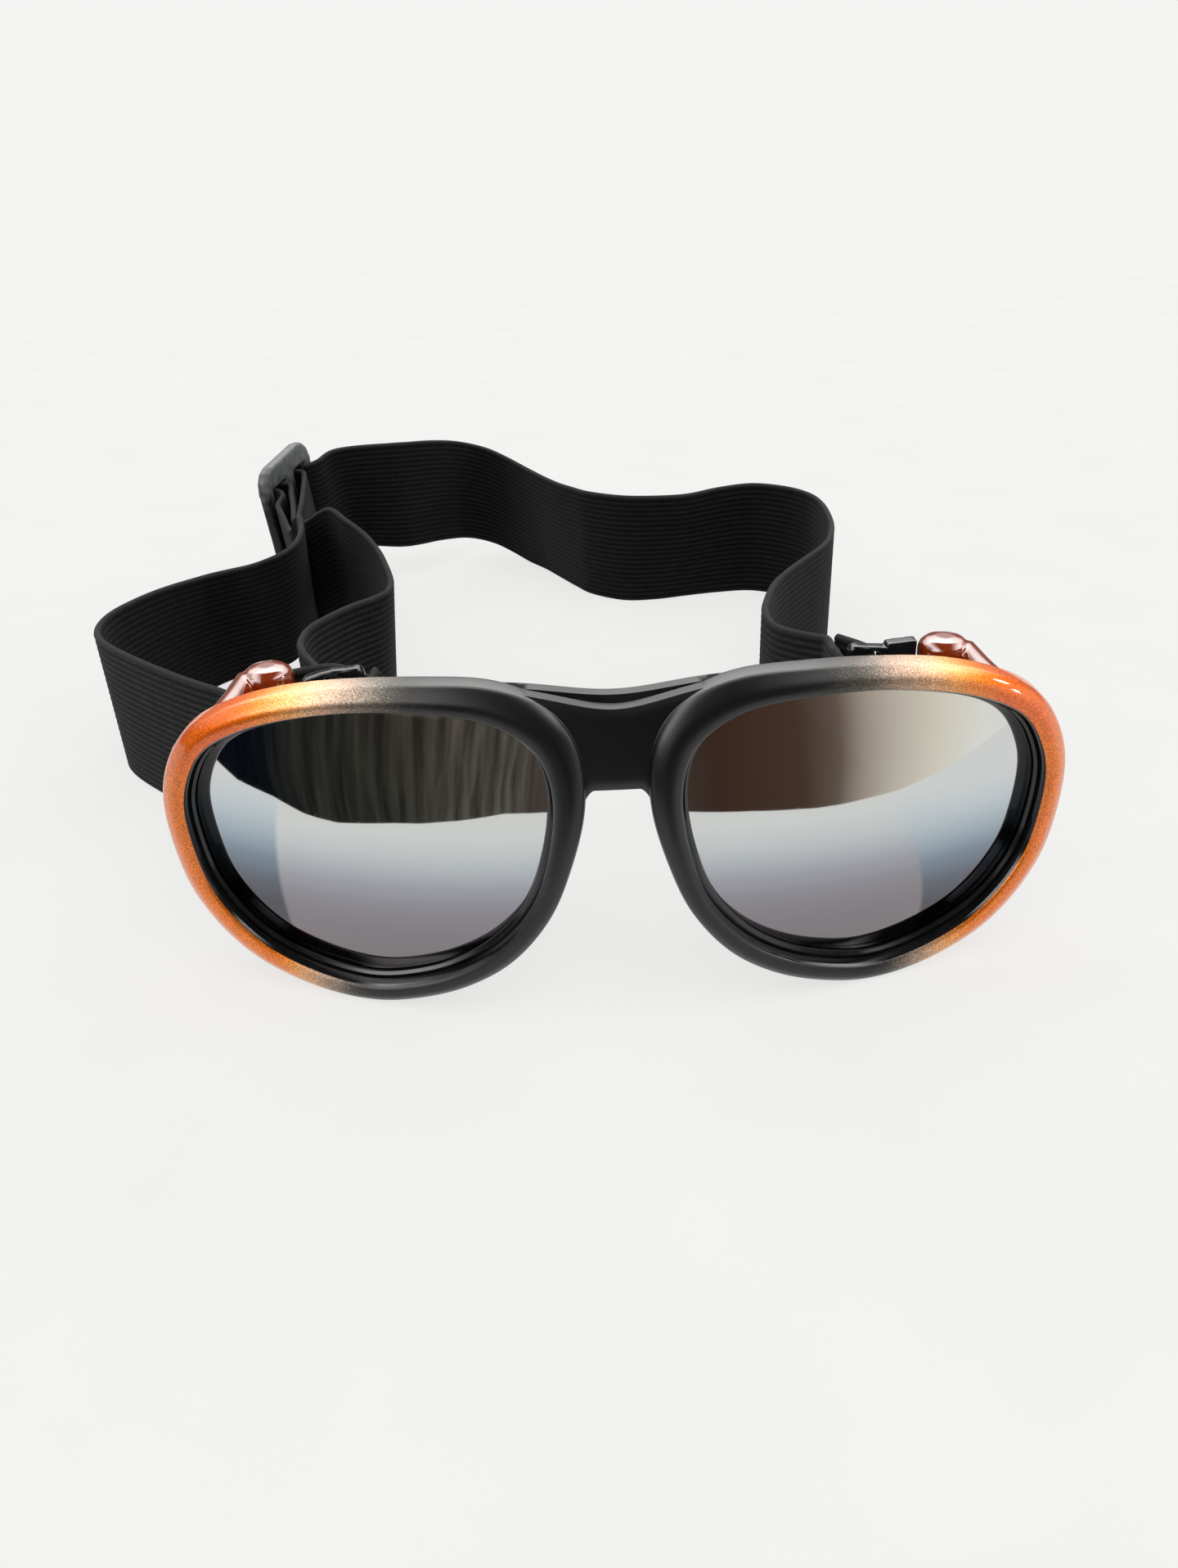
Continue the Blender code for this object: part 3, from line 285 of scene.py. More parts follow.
INNER_RUN_SHARES = (
    (-0.576, 0.434),
    (-0.549, 0.464),
    (-0.512, 0.492, 0.000, 0.03),
    (-0.477, 0.511, 0.000, 0.06),
    (-0.454, 0.529, 0.000, 0.09),
    (-0.446, 0.550, 0.000, 0.10),
    (-0.452, 0.575, 0.012, 0.09, -0.01),
    (-0.470, 0.606, 0.048, 0.07, -0.04),
    (-0.495, 0.638, 0.100, 0.04, -0.08),
    (-0.537, 0.674, 0.165, 0.00, -0.12),
    (-0.588, 0.706, 0.220, -0.03, -0.15),
    (-0.640, 0.738, 0.252, -0.04, -0.16),
)
SLIDER_PLACE_SHARES = (-0.810, 0.929)


def screw_place(node):
    low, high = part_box(node)
    return (low + high) / 2


def frame_origin():
    """The point that the CAD's sizes are measured from."""
    left = screw_place("hinge_screw_left")
    right = screw_place("hinge_screw_right")
    return Vector(((left.x + right.x) / 2, left.y - HINGE_Y, 0.0))


ORIGIN = frame_origin()


# Mesh helpers


def finish_mesh(name, shape, smooth_angle=math.radians(35)):
    bmesh.ops.recalc_face_normals(shape, faces=shape.faces)
    if shape.calc_volume(signed=True) < 0:
        bmesh.ops.reverse_faces(shape, faces=shape.faces)
    bmesh.ops.translate(shape, verts=shape.verts, vec=ORIGIN)
    mesh = bpy.data.meshes.new(name)
    shape.to_mesh(mesh)
    shape.free()
    mesh.shade_smooth()
    mesh.set_sharp_from_angle(angle=smooth_angle)
    made = bpy.data.objects.new(name, mesh)
    bpy.context.scene.collection.objects.link(made)
    return made


def loft(sections, closed, ladder_caps=False, rows=None, columns=None, finishes=None):
    """Quads between sections, with UVs from a number for each section and corner."""
    shape = bmesh.new()
    uv = shape.loops.layers.uv.new("UVMap") if rows else None
    rings = [[shape.verts.new(point) for point in section] for section in sections]
    size = len(rings[0])
    last = len(rings) if closed else len(rings) - 1
    for index in range(last):
        here = rings[index]
        there = rings[(index + 1) % len(rings)]
        for corner in range(size):
            after = (corner + 1) % size
            face = shape.faces.new((here[corner], here[after], there[after], there[corner]))
            if finishes:
                face.material_index = finishes[corner]
            if uv:
                places = (
                    (rows[index], columns[corner]),
                    (rows[index], columns[after]),
                    (rows[index + 1], columns[after]),
                    (rows[index + 1], columns[corner]),
                )
                for loop, place in zip(face.loops, places):
                    loop[uv].uv = place
    if closed:
        return shape
    for ring in (rings[0], rings[-1]):
        if ladder_caps:
            for rung in range(size // 2 - 1):
                far = size - 1 - rung
                shape.faces.new((ring[rung], ring[rung + 1], ring[far - 1], ring[far]))
        else:
            shape.faces.new(ring)
    return shape


def unite(target, tool, solver="EXACT"):
    step = target.modifiers.new("union", "BOOLEAN")
    step.operation = "UNION"
    step.solver = solver
    step.object = tool
    bpy.context.view_layer.update()
    graph = bpy.context.evaluated_depsgraph_get()
    mesh = bpy.data.meshes.new_from_object(target.evaluated_get(graph))
    target.modifiers.clear()
    target.data = mesh
    bpy.data.objects.remove(tool, do_unlink=True)


def catmull_rom(before, start, end, after, t):
    return 0.5 * (
        2 * start
        + (end - before) * t
        + (2 * before - 5 * start + 4 * end - after) * t**2
        + (3 * start - before - 3 * end + after) * t**3
    )


def spline(points, steps, closed):
    count = len(points)
    found = []
    for index in range(count if closed else count - 1):
        places = range(index - 1, index + 3)
        if closed:
            rows = [points[place % count] for place in places]
        else:
            rows = [points[min(max(place, 0), count - 1)] for place in places]
        for step in range(steps):
            t = step / steps
            found.append(tuple(catmull_rom(*values, t) for values in zip(*rows)))
    if not closed:
        found.append(tuple(points[-1]))
    return found


def resample(rows, lengths, steps, count):
    """As many rows of a route as asked for, at equal steps of its lengths."""
    found = []
    place = 0
    for index in range(count):
        wanted = lengths[-1] * index / steps
        while place < len(rows) - 2 and lengths[place + 1] < wanted:
            place += 1
        t = (wanted - lengths[place]) / (lengths[place + 1] - lengths[place])
        found.append(tuple(a + (b - a) * t for a, b in zip(rows[place], rows[place + 1])))
    return found


# Front, inner frame and lenses


def front_y(x, z):
    wrap = WRAP_RADIUS - math.sqrt(WRAP_RADIUS**2 - x**2)
    bow = (z - EYE_CENTRE_Z) ** 2 / (2 * BOW_RADIUS)
    return wrap + bow + z * math.tan(RAKE)


def on_front(x, z, depth):
    low = max(z, 0.0)
    return Vector((x, front_y(x, low) + depth, low))


def eye_outline(count):
    rows = [
        (
            EYE_CENTRE_X + across * EYE_HALF_WIDTH,
            EYE_CENTRE_Z + up * EYE_HALF_HEIGHT,
            width * RIM_WIDTH,
        )
        for across, up, width in OPENING_SHARES
    ]
    rows = spline(rows, OUTLINE_STEPS, closed=True)
    rows.append(rows[0])
    lengths = [0.0]
    for one, two in zip(rows, rows[1:]):
        lengths.append(lengths[-1] + math.dist(one[:2], two[:2]))
    rows = resample(rows, lengths, count, count)
    stations = []
    for index, (x, z, width) in enumerate(rows):
        before = rows[index - 1]
        after = rows[(index + 1) % count]
        along = Vector((after[0] - before[0], after[1] - before[1])).normalized()
        stations.append((x, z, Vector((-along.y, along.x)), width))
    if sum(s[2].x * (s[0] - EYE_CENTRE_X) for s in stations) < 0:
        stations = [(x, z, -out, width) for x, z, out, width in stations]
    return stations


def rim_ring(name, section, side, finishes=None):
    sections = []
    for x, z, out, width in eye_outline(RIM_STATIONS):
        rows = section(width)
        sections.append(
            [on_front(side * (x + out.x * r), z + out.y * r, depth) for r, depth in rows]
        )
    return finish_mesh(name, loft(sections, closed=True, finishes=finishes))


def front_section(width):
    shares = spline(RIM_FACE_SHARES, FACE_STEPS, closed=False)
    face = [(across * width, down * RIM_CROWN) for across, down in shares]
    back = [
        (width, SKIRT_DEPTH),
        (width - SKIRT_WALL, SKIRT_DEPTH),
        (width - SKIRT_WALL, LIP_DEPTH),
        (0.0, LIP_DEPTH),
    ]
    return face + back


def inner_section(width):
    pocket = width - SKIRT_WALL - SEAT_GAP
    flange = width - FLANGE_INSET
    ease = LINING / 2
    return [
        (-LINING + ease, LIP_DEPTH + SEAT_GAP),
        (pocket, LIP_DEPTH + SEAT_GAP),
        (pocket, SKIRT_DEPTH + SEAT_GAP),
        (flange, SKIRT_DEPTH + SEAT_GAP),
        (flange - FLANGE_TAPER / 2, INNER_BACK - FLANGE_TAPER / 2),
        (flange - FLANGE_TAPER, INNER_BACK),
        (-REAR_LIP, INNER_BACK),
        (-REAR_LIP, GROOVE_BACK),
        (GROOVE_DEPTH, GROOVE_BACK),
        (GROOVE_DEPTH, GROOVE_FRONT),
        (-LINING, GROOVE_FRONT),
        (-LINING, LIP_DEPTH + SEAT_GAP + ease),
    ]


def nose_side(inset):
    rows = []
    for x, z, out, width in eye_outline(RIM_STATIONS * 2):
        reach = width - inset
        place = (x + out.x * reach, z + out.y * reach)
        if place[0] < EYE_CENTRE_X - EYE_HALF_WIDTH / 2:
            rows.append(place)
    return sorted(rows, key=lambda row: row[1])


def side_at(rows, height):
    for (x_low, z_low), (x_high, z_high) in zip(rows, rows[1:]):
        if z_low <= height <= z_high:
            t = (height - z_low) / (z_high - z_low)
            return x_low + (x_high - x_low) * t
    return rows[-1][0] if height > rows[-1][1] else rows[0][0]


def bridge_slab(name, inset, front, back, lift):
    edge = nose_side(inset)
    sections = []
    for column in range(BRIDGE_COLUMNS + 1):
        share = -1 + 2 * column / BRIDGE_COLUMNS
        fall = INNER_TOP_FALL * lift * share**8
        top = BRIDGE_TOP + lift + BRIDGE_TOP_RISE * share**2 - fall
        turn = max(0.0, (abs(share) - BRIDGE_TURN) / (1 - BRIDGE_TURN))
        foot = BRIDGE_BOTTOM + lift - BRIDGE_CORNER * turn**2
        near = []
        far = []
        for row in range(BRIDGE_ROWS + 1):
            z = foot + (top - foot) * row / BRIDGE_ROWS
            x = share * side_at(edge, z)
            ease = BRIDGE_RECESS * BRIDGE_EASE * (abs(2 * row / BRIDGE_ROWS - 1) ** 10)
            near.append(on_front(x, z, front + ease))
            far.append(on_front(x, z, back))
        sections.append(near + far[::-1])
    return finish_mesh(name, loft(sections, closed=False, ladder_caps=True))


def build_front():
    """The painted front. Its back and the walls of its openings stay glossy black."""
    painted = (len(RIM_FACE_SHARES) - 1) * FACE_STEPS + 1
    lip = FACE_STEPS - 1
    finishes = [1] * lip + [0] * (painted - lip) + [1] * 4
    front = rim_ring("front_frame_paint", front_section, 1, finishes)
    other = rim_ring("front_rim_left", front_section, -1, finishes)
    bridge = bridge_slab("front_bridge", SKIRT_WALL / 2, BRIDGE_RECESS, SKIRT_DEPTH, 0.0)
    unite(front, bridge)
    unite(front, other)
    return front


def build_inner():
    inner = rim_ring("inner_frame_fine", inner_section, 1)
    other = rim_ring("inner_rim_left", inner_section, -1)
    bridge = bridge_slab(
        "inner_bridge",
        SKIRT_WALL + SEAT_GAP * 2,
        SKIRT_DEPTH + SEAT_GAP,
        INNER_BACK,
        INNER_BRIDGE_LIFT,
    )
    unite(inner, bridge, "MANIFOLD")
    unite(inner, other, "MANIFOLD")
    inner.data.materials.clear()
    return inner


def build_lens(side):
    reach = GROOVE_DEPTH - SEAT_GAP
    edge = [
        (x + out.x * reach - EYE_CENTRE_X, z + out.y * reach - EYE_CENTRE_Z)
        for x, z, out, _ in eye_outline(LENS_STATIONS)
    ]
    steps = [ring / (LENS_RINGS - 1) for ring in range(LENS_RINGS)]
    shares = [LENS_CORE + (1 - LENS_CORE) * step for step in steps]
    front = GROOVE_FRONT + SEAT_GAP
    back = GROOVE_BACK - SEAT_GAP

    def loop(share, depth):
        lift = LENS_BULGE * (1 - share**2)
        return [
            on_front(
                side * (EYE_CENTRE_X + x * share), EYE_CENTRE_Z + z * share, depth - lift
            )
            for x, z in edge
        ]

    sections = [loop(share, front) for share in shares]
    sections += [loop(share, back) for share in reversed(shares)]
    name = "lens_fine_right" if side > 0 else "lens_fine_left"
    return finish_mesh(name, loft(sections, closed=False))


def block(corners, front, back):
    """A solid between two depths, from corners given across and up."""
    shape = bmesh.new()
    near = [shape.verts.new((x, front, z)) for x, z in corners]
    far = [shape.verts.new((x, back, z)) for x, z in corners]
    shape.faces.new(near)
    shape.faces.new(far[::-1])
    for index in range(len(corners)):
        after = (index + 1) % len(corners)
        shape.faces.new((near[index], near[after], far[after], far[index]))
    return finish_mesh("block", shape)


def clip_fillings():
    """The right clip's web, which rises to the hinge, and a wider post beside the slot."""
    slot_start, _ = clip_slot()
    half = CLIP_THICKNESS / 2
    top = CLIP_WEB_TOP + SEAT_GAP * 2 + CLIP_RAIL
    web = (
        (KNUCKLE_RADIUS + SEAT_GAP * 2, top + CLIP_RAIL * 0.25),
        (slot_start, top - CLIP_RAIL * 0.1),
        (slot_start, top - CLIP_RAIL * 3),
        (KNUCKLE_RADIUS + SEAT_GAP * 2, top - CLIP_RAIL * 3),
    )
    post = (
        (slot_start - SEAT_GAP * 2, top - CLIP_RAIL * 0.7),
        (slot_start + CLIP_SLOT_WIDTH * 0.36, top - CLIP_RAIL * 0.7),
        (slot_start + CLIP_SLOT_WIDTH * 0.36, CLIP_WEB_TOP - WEB_WIDTH),
        (slot_start - SEAT_GAP * 2, CLIP_WEB_TOP - WEB_WIDTH),
    )
    return [
        block([(HINGE_X - q, z) for q, z in row], HINGE_Y - half, HINGE_Y + half)
        for row in (web, post)
    ]


def moulded(node, grain, turns, extra=()):
    """A copy of a CAD node with its edges and joints eased as in a moulding."""
    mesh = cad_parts[node].data.copy()
    mesh.materials.clear()
    if extra:
        shape = bmesh.new()
        shape.from_mesh(mesh)
        for solid in extra:
            shape.from_mesh(solid.data)
            bpy.data.objects.remove(solid, do_unlink=True)
        shape.to_mesh(mesh)
        shape.free()
    thing = bpy.data.objects.new(node + "_fine", mesh)
    bpy.context.scene.collection.objects.link(thing)
    remesh = thing.modifiers.new("remesh", "REMESH")
    remesh.mode = "VOXEL"
    remesh.voxel_size = grain
    relax = thing.modifiers.new("relax", "SMOOTH")
    relax.factor = 0.5
    relax.iterations = turns
    bpy.context.view_layer.update()
    graph = bpy.context.evaluated_depsgraph_get()
    fine = bpy.data.meshes.new_from_object(thing.evaluated_get(graph))
    thing.modifiers.clear()
    thing.data = fine
    fine.shade_smooth()
    return thing


# The strap


def clip_slot():
    start = CLIP_POST_START + CLIP_POST_WIDTH
    return start, start + CLIP_SLOT_WIDTH


def slider_height():
    return WEB_WIDTH + 2 * SEAT_GAP * 2 + 2 * SLIDER_RAIL


def slider_frame():
    heading = Vector((math.cos(SLIDER_HEADING), math.sin(SLIDER_HEADING), 0.0))
    up = Vector((0.0, 0.0, 1.0))
    along = heading * math.cos(SLIDER_TILT) + up * math.sin(SLIDER_TILT)
    across = up * math.cos(SLIDER_TILT) - heading * math.sin(SLIDER_TILT)
    outward = Vector((-heading.y, heading.x, 0.0))
    rounding = SLIDER_RAIL * (across.z + along.z - 1)
    lowest = slider_height() / 2 * across.z + SLIDER_LENGTH / 2 * along.z - rounding
    aside, back = SLIDER_PLACE_SHARES
    centre = Vector((aside * LOOP_SPREAD, back * LOOP_DEPTH, lowest))
    return centre, along, across, outward


def route_station(across, back, rise=0.0, lean_x=0.0, lean_y=0.0):
    wide = Vector((lean_x, lean_y, math.sqrt(1 - lean_x**2 - lean_y**2)))
    foot = rise * WEB_WIDTH
    top = Vector((across * LOOP_SPREAD, back * LOOP_DEPTH, foot + wide.z * WEB_WIDTH))
    return tuple(top - wide * (WEB_WIDTH / 2)) + tuple(wide)


def route(rows):
    return [route_station(*row) for row in rows]


def slider_station(u, n):
    centre, along, across, outward = slider_frame()
    return tuple(centre + along * u + outward * n) + tuple(across)


def clip_station(side, q, back, rise=0.0):
    middle = CLIP_WEB_TOP - WEB_WIDTH / 2 - rise
    return (side * (HINGE_X - q), HINGE_Y + back, middle, 0.0, 0.0, 1.0)


def round_the_bar(side):
    _, slot_end = clip_slot()
    clear = WEB_THICKNESS / 2 + SEAT_GAP * 2
    slot_side = slot_end - clear
    far_side = slot_end + CLIP_BAR_WIDTH + clear
    front = -(CLIP_THICKNESS / 2 + clear)
    middle = (slot_side + far_side) / 2
    return [
        clip_station(side, slot_side, -front),
        clip_station(side, slot_side, 0.0),
        clip_station(side, slot_side + clear / 2, front * 0.86),
        clip_station(side, middle, front * 1.08),
        clip_station(side, far_side - clear / 2, front * 0.86),
        clip_station(side, far_side, 0.0),
        clip_station(side, far_side, -front),
    ]


def right_run_stations():
    free = route(RIGHT_RUN_SHARES)
    lay = WEB_THICKNESS + SEAT_GAP
    _, slot_end = clip_slot()
    clear = WEB_THICKNESS / 2 + SEAT_GAP
    first = free[0]
    tail = (first[0] + lay * 1.1, first[1] + lay / 2, first[2], 0.0, 0.0, 1.0)
    swell = clip_station(1, slot_end - clear * 1.3, CLIP_THICKNESS * 2.4, 0.0008)
    leave = clip_station(1, slot_end + CLIP_BAR_WIDTH + clear, CLIP_THICKNESS * 2.4, 0.0010)
    return [tail, swell] + round_the_bar(1) + [leave] + free


def left_loop_halves():
    """The two halves of the left loop, which meet on the outer side of the bar."""
    behind = HINGE_Y + KNUCKLE_RADIUS + WEB_THICKNESS / 2 + SEAT_GAP * 4
    drop = CLIP_WEB_TOP - WEB_WIDTH
    _, slot_end = clip_slot()
    clear = WEB_THICKNESS / 2 + SEAT_GAP
    shares = ((1.30, 0.05, 0.0), (0.90, 0.30, 1.0), (0.0, 0.60, 1.6), (-1.25, 0.85, 1.0))
    past = []
    for aside, climb, back in shares:
        x = -(HINGE_X + aside * KNUCKLE_RADIUS * 1.5)
        y = behind + back * WEB_THICKNESS / 2
        past.append((x, y, WEB_WIDTH / 2 + drop * climb, 0.0, 0.0, 1.0))
    slot = clip_station(-1, slot_end - clear * 1.6, CLIP_THICKNESS * 1.6)
    bar_end = slot_end + CLIP_BAR_WIDTH
    leave = clip_station(-1, bar_end + clear, CLIP_THICKNESS * 1.6, 0.0020)
    outer = route(LEFT_OUTER_LEG_SHARES)
    inner = route(LEFT_INNER_LEG_SHARES)
    fold = round_the_bar(-1)
    return outer + past + [slot] + fold[:2], fold[1:] + [leave] + inner


def slider_crossings():
    clear = WEB_THICKNESS / 2 + SEAT_GAP * 2
    bar = SLIDER_BAR / 2 + clear
    face = SLIDER_THICKNESS / 2 + clear
    over = face + WEB_THICKNESS + SEAT_GAP
    outer = SLIDER_BAR / 2 + SLIDER_SLOT - clear - SEAT_GAP
    return bar, face, over, outer


def outer_run_stations():
    bar, face, over, outer = slider_crossings()
    free = route(OUTER_RUN_SHARES)
    length = SLIDER_LENGTH
    through = [
        slider_station(-length * 1.16, -length * 0.62),
        slider_station(-length * 0.83, -length * 0.365),
        slider_station(-length * 0.62, -length * 0.215),
        slider_station(-length * 0.405, -length * 0.165),
        slider_station(-outer, -face * 0.5),
        slider_station(-outer + face * 0.2, face * 0.8),
        slider_station(-bar, over),
        slider_station(0.0, over + SEAT_GAP),
        slider_station(bar, over),
        slider_station(outer - face * 0.2, face * 0.8),
        slider_station(outer, -face * 0.5),
    ]
    return free + through


def back_band_stations():
    _, face, _, outer = slider_crossings()
    free = route(BACK_BAND_SHARES)
    end = [
        slider_station(SLIDER_LENGTH / 2 + face * 2.0, -face * 2.4),
        slider_station(outer + face, -face * 1.5),
        slider_station(outer, -face * 0.6),
    ]
    return free[:-1] + end


def inner_run_stations():
    bar, face, _, _ = slider_crossings()
    free = route(INNER_RUN_SHARES)
    length = SLIDER_LENGTH
    loop = [
        slider_station(-length * 1.02, -length * 0.640),
        slider_station(-length * 0.50, -length * 0.420),
        slider_station(-length * 0.05, -length * 0.230),
        slider_station(bar * 1.05, -face * 1.1),
        slider_station(bar, face * 0.4),
        slider_station(bar * 0.55, face),
        slider_station(-bar * 0.55, face),
        slider_station(-bar, face * 0.4),
        slider_station(-bar * 1.05, -face * 1.1),
        slider_station(-length * 0.36, -length * 0.235),
        slider_station(-length * 0.62, -length * 0.380),
        slider_station(-length * 0.95, -length * 0.545),
    ]
    return free + loop


def fine_route(before, stations, after):
    """Close stations of one stretch, shaped by its neighbours' stations as well."""
    points = list(before) + list(stations) + list(after)
    fine = spline(points, ROUTE_STEPS, closed=False)
    first = len(before) * ROUTE_STEPS
    last = first + (len(stations) - 1) * ROUTE_STEPS
    return fine[first : last + 1]


def even_route(rows):
    """Stations a web step apart, and closer where the route turns."""
    weights = [0.0]
    for index in range(1, len(rows)):
        one = Vector(rows[index - 1][:3])
        two = Vector(rows[index][:3])
        turn = 0.0
        if index + 1 < len(rows):
            turn = (two - one).angle(Vector(rows[index + 1][:3]) - two, 0.0)
        weights.append(weights[-1] + (two - one).length / WEB_STEP + turn * TURN_WEIGHT)
    count = round(weights[-1])
    return resample(rows, weights, count, count + 1)


def band_frames(rows):
    """Middle, width direction and facing of each station."""
    frames = []
    for index, row in enumerate(rows):
        wide = Vector(row[3:]).normalized()
        before = Vector(rows[max(index - 1, 0)][:3])
        after = Vector(rows[min(index + 1, len(rows) - 1)][:3])
        facing = (after - before).cross(wide).normalized()
        frames.append((Vector(row[:3]), wide, facing))
    return frames


def web_section():
    """Half thickness and place across for each point round the ribbed webbing."""
    count = WEB_RIBS * RIB_POINTS
    side = []
    for index in range(count + 1):
        share = index / count
        ripple = math.cos(2 * math.pi * WEB_RIBS * share)
        half = WEB_THICKNESS / 2 - RIB_HEIGHT * (1 + ripple) / 2
        edge = min(share, 1 - share) * WEB_WIDTH
        if edge < WEB_THICKNESS / 2:
            inward = edge / (WEB_THICKNESS / 2)
            half *= math.sqrt(max(WEB_EDGE_SHARE, 1 - (1 - inward) ** 2))
        side.append((share, half))
    return side


def webbing(name, before, stations, after):
    """Ribbed webbing along a stretch, with UVs in metres along and shares across."""
    rows = even_route(fine_route(before, stations, after))
    frames = band_frames(rows)
    side = web_section()
    lengths = [0.0]
    for one, two in zip(frames, frames[1:]):
        lengths.append(lengths[-1] + (two[0] - one[0]).length)
    corners = [(share, -half) for share, half in side] + side[::-1]
    sections = []
    for middle, wide, facing in frames:
        section = []
        for share, half in corners:
            point = middle + wide * ((share - 0.5) * WEB_WIDTH) + facing * half
            point.z = max(point.z, 0.0)
            section.append(point)
        sections.append(section)
    columns = [share for share, _ in corners]
    shape = loft(sections, closed=False, ladder_caps=True, rows=lengths, columns=columns)
    made = finish_mesh(name, shape, smooth_angle=math.radians(60))
    return made, lengths[-1]


# Materials


class Nodes:
    """The node tree of a material or world, with short calls to add and join nodes."""

    def __init__(self, owner):
        owner.use_nodes = True
        self.owner = owner
        self.tree = owner.node_tree
        self.shader = self.tree.nodes.get("Principled BSDF")

    def add(self, kind, **values):
        node = self.tree.nodes.new(kind)
        for key, value in values.items():
            setattr(node, key, value)
        return node

    def join(self, source, target):
        """Joins an output to an input, or sets the input to a number or colour."""
        if isinstance(source, tuple):
            target.default_value = (*source, 1.0)
        elif isinstance(source, (int, float)):
            target.default_value = source
        else:
            self.tree.links.new(source, target)

    def fill(self, node, **values):
        """Joins or sets a node's inputs, named with _ for each space."""
        for key, value in values.items():
            self.join(value, node.inputs[key.replace("_", " ")])

    def set(self, **values):
        self.fill(self.shader, **values)

    def math(self, operation, one, two=0.0, three=0.0, clamp=False):
        node = self.add("ShaderNodeMath", operation=operation, use_clamp=clamp)
        for value, socket in zip((one, two, three), node.inputs):
            self.join(value, socket)
        return node.outputs[0]

    def line(self, value, at_zero, at_one):
        """Straight from one number where the value is 0 to another where it is 1."""
        return self.math("MULTIPLY_ADD", value, at_one - at_zero, at_zero)

    def smooth(self, value, low, high, start=0.0, end=1.0):
        node = self.add("ShaderNodeMapRange", interpolation_type="SMOOTHSTEP", clamp=True)
        self.fill(node, Value=value, From_Min=low, From_Max=high, To_Min=start, To_Max=end)
        return node.outputs["Result"]

    def ramp(self, value, stops):
        node = self.add("ShaderNodeValToRGB")
        elements = node.color_ramp.elements
        while len(elements) < len(stops):
            elements.new(0.5)
        for element, (place, colour) in zip(elements, stops):
            element.position = place
            element.color = (*colour, 1.0)
        self.fill(node, Fac=value)
        return node.outputs["Color"]

    def mix(self, factor, one, two, blend="MIX"):
        node = self.add("ShaderNodeMix", data_type="RGBA", blend_type=blend)
        for value, index in ((factor, 0), (one, 6), (two, 7)):
            self.join(value, node.inputs[index])
        return node.outputs[2]

    def times(self, one, two):
        return self.mix(1.0, one, two, "MULTIPLY")

    def blend(self, factor, one, two):
        node = self.add("ShaderNodeMixShader")
        for value, socket in zip((factor, one, two), node.inputs):
            self.join(value, socket)
        return node.outputs[0]

    def noise(self, scale, detail=2.0, roughness=0.5, vector=None):
        node = self.add("ShaderNodeTexNoise")
        vector = vector or self.place()
        self.fill(node, Scale=scale, Detail=detail, Roughness=roughness, Vector=vector)
        return node.outputs["Fac"]

    def place(self):
        if not hasattr(self, "_place"):
            self._place = self.add("ShaderNodeTexCoord").outputs["Object"]
        return self._place

    def split(self, vector):
        node = self.add("ShaderNodeSeparateXYZ")
        self.join(vector, node.inputs[0])
        return node.outputs

    def axes(self):
        """The place's three numbers, measured from the frame's origin."""
        shifted = self.add("ShaderNodeVectorMath", operation="SUBTRACT")
        self.join(self.place(), shifted.inputs[0])
        shifted.inputs[1].default_value = ORIGIN
        return self.split(shifted.outputs[0])

    def bump(self, height, distance, strength):
        node = self.add("ShaderNodeBump")
        self.fill(node, Distance=distance, Strength=strength, Height=height)
        self.set(Normal=node.outputs["Normal"])


def new_finish(name):
    return Nodes(bpy.data.materials.new(name))


def fade_paint():
    """Satin black that fades through a sprayed silver and gold to metallic orange."""
    n = new_finish("fade_paint")
    x, _, z = n.axes()
    lift = n.math("DIVIDE", z, LOOK_TOP, clamp=True)
    start = n.line(lift, *FADE_START)
    end = n.line(lift, *FADE_END)
    cloud = n.noise(160.0, 3.0)
    spread = n.line(cloud, -FADE_CLOUD, FADE_CLOUD)
    dots = n.line(n.noise(4200.0, 1.0), -FADE_DOTS, FADE_DOTS)
    aside = n.math("ADD", n.math("ADD", n.math("ABSOLUTE", x), spread), dots)
    shift = n.math("MULTIPLY", n.math("SIGN", x), n.math("MULTIPLY", lift, FADE_SHIFT))
    aside = n.math("SUBTRACT", aside, shift)
    span = n.math("SUBTRACT", end, start)
    fade = n.math("DIVIDE", n.math("SUBTRACT", aside, start), span, clamp=True)
    colour = n.ramp(
        fade,
        (
            (0.00, (0.0030, 0.0033, 0.0040)),
            (0.12, (0.013, 0.013, 0.013)),
            (0.24, (0.080, 0.073, 0.064)),
            (0.36, (0.210, 0.175, 0.145)),
            (0.49, (0.460, 0.315, 0.235)),
            (0.62, (0.700, 0.400, 0.220)),
            (0.74, (0.820, 0.350, 0.100)),
            (0.87, (0.850, 0.220, 0.016)),
            (1.00, (0.820, 0.140, 0.003)),
        ),
    )
    low = n.math("MULTIPLY", n.smooth(z, 0.042, 0.032), n.smooth(fade, 0.80, 1.0))
    colour = n.mix(low, colour, (0.860, 0.200, 0.010))
    sparkle = n.smooth(n.noise(4600.0, 0.0), 0.30, 0.75, 0.70, 1.30)
    satin = n.smooth(fade, 0.04, 0.34, 0.32, 0.43)
    n.set(
        Base_Color=n.times(colour, sparkle),
        Metallic=n.smooth(fade, 0.03, 0.35, 0.0, 0.85),
        Roughness=n.math("MULTIPLY_ADD", cloud, 0.05, satin),
        Coat_Weight=n.smooth(fade, 0.50, 0.95),
        Coat_Roughness=0.05,
    )
    n.bump(n.noise(3800.0, 2.0), 0.00002, 0.25)
    return n.owner


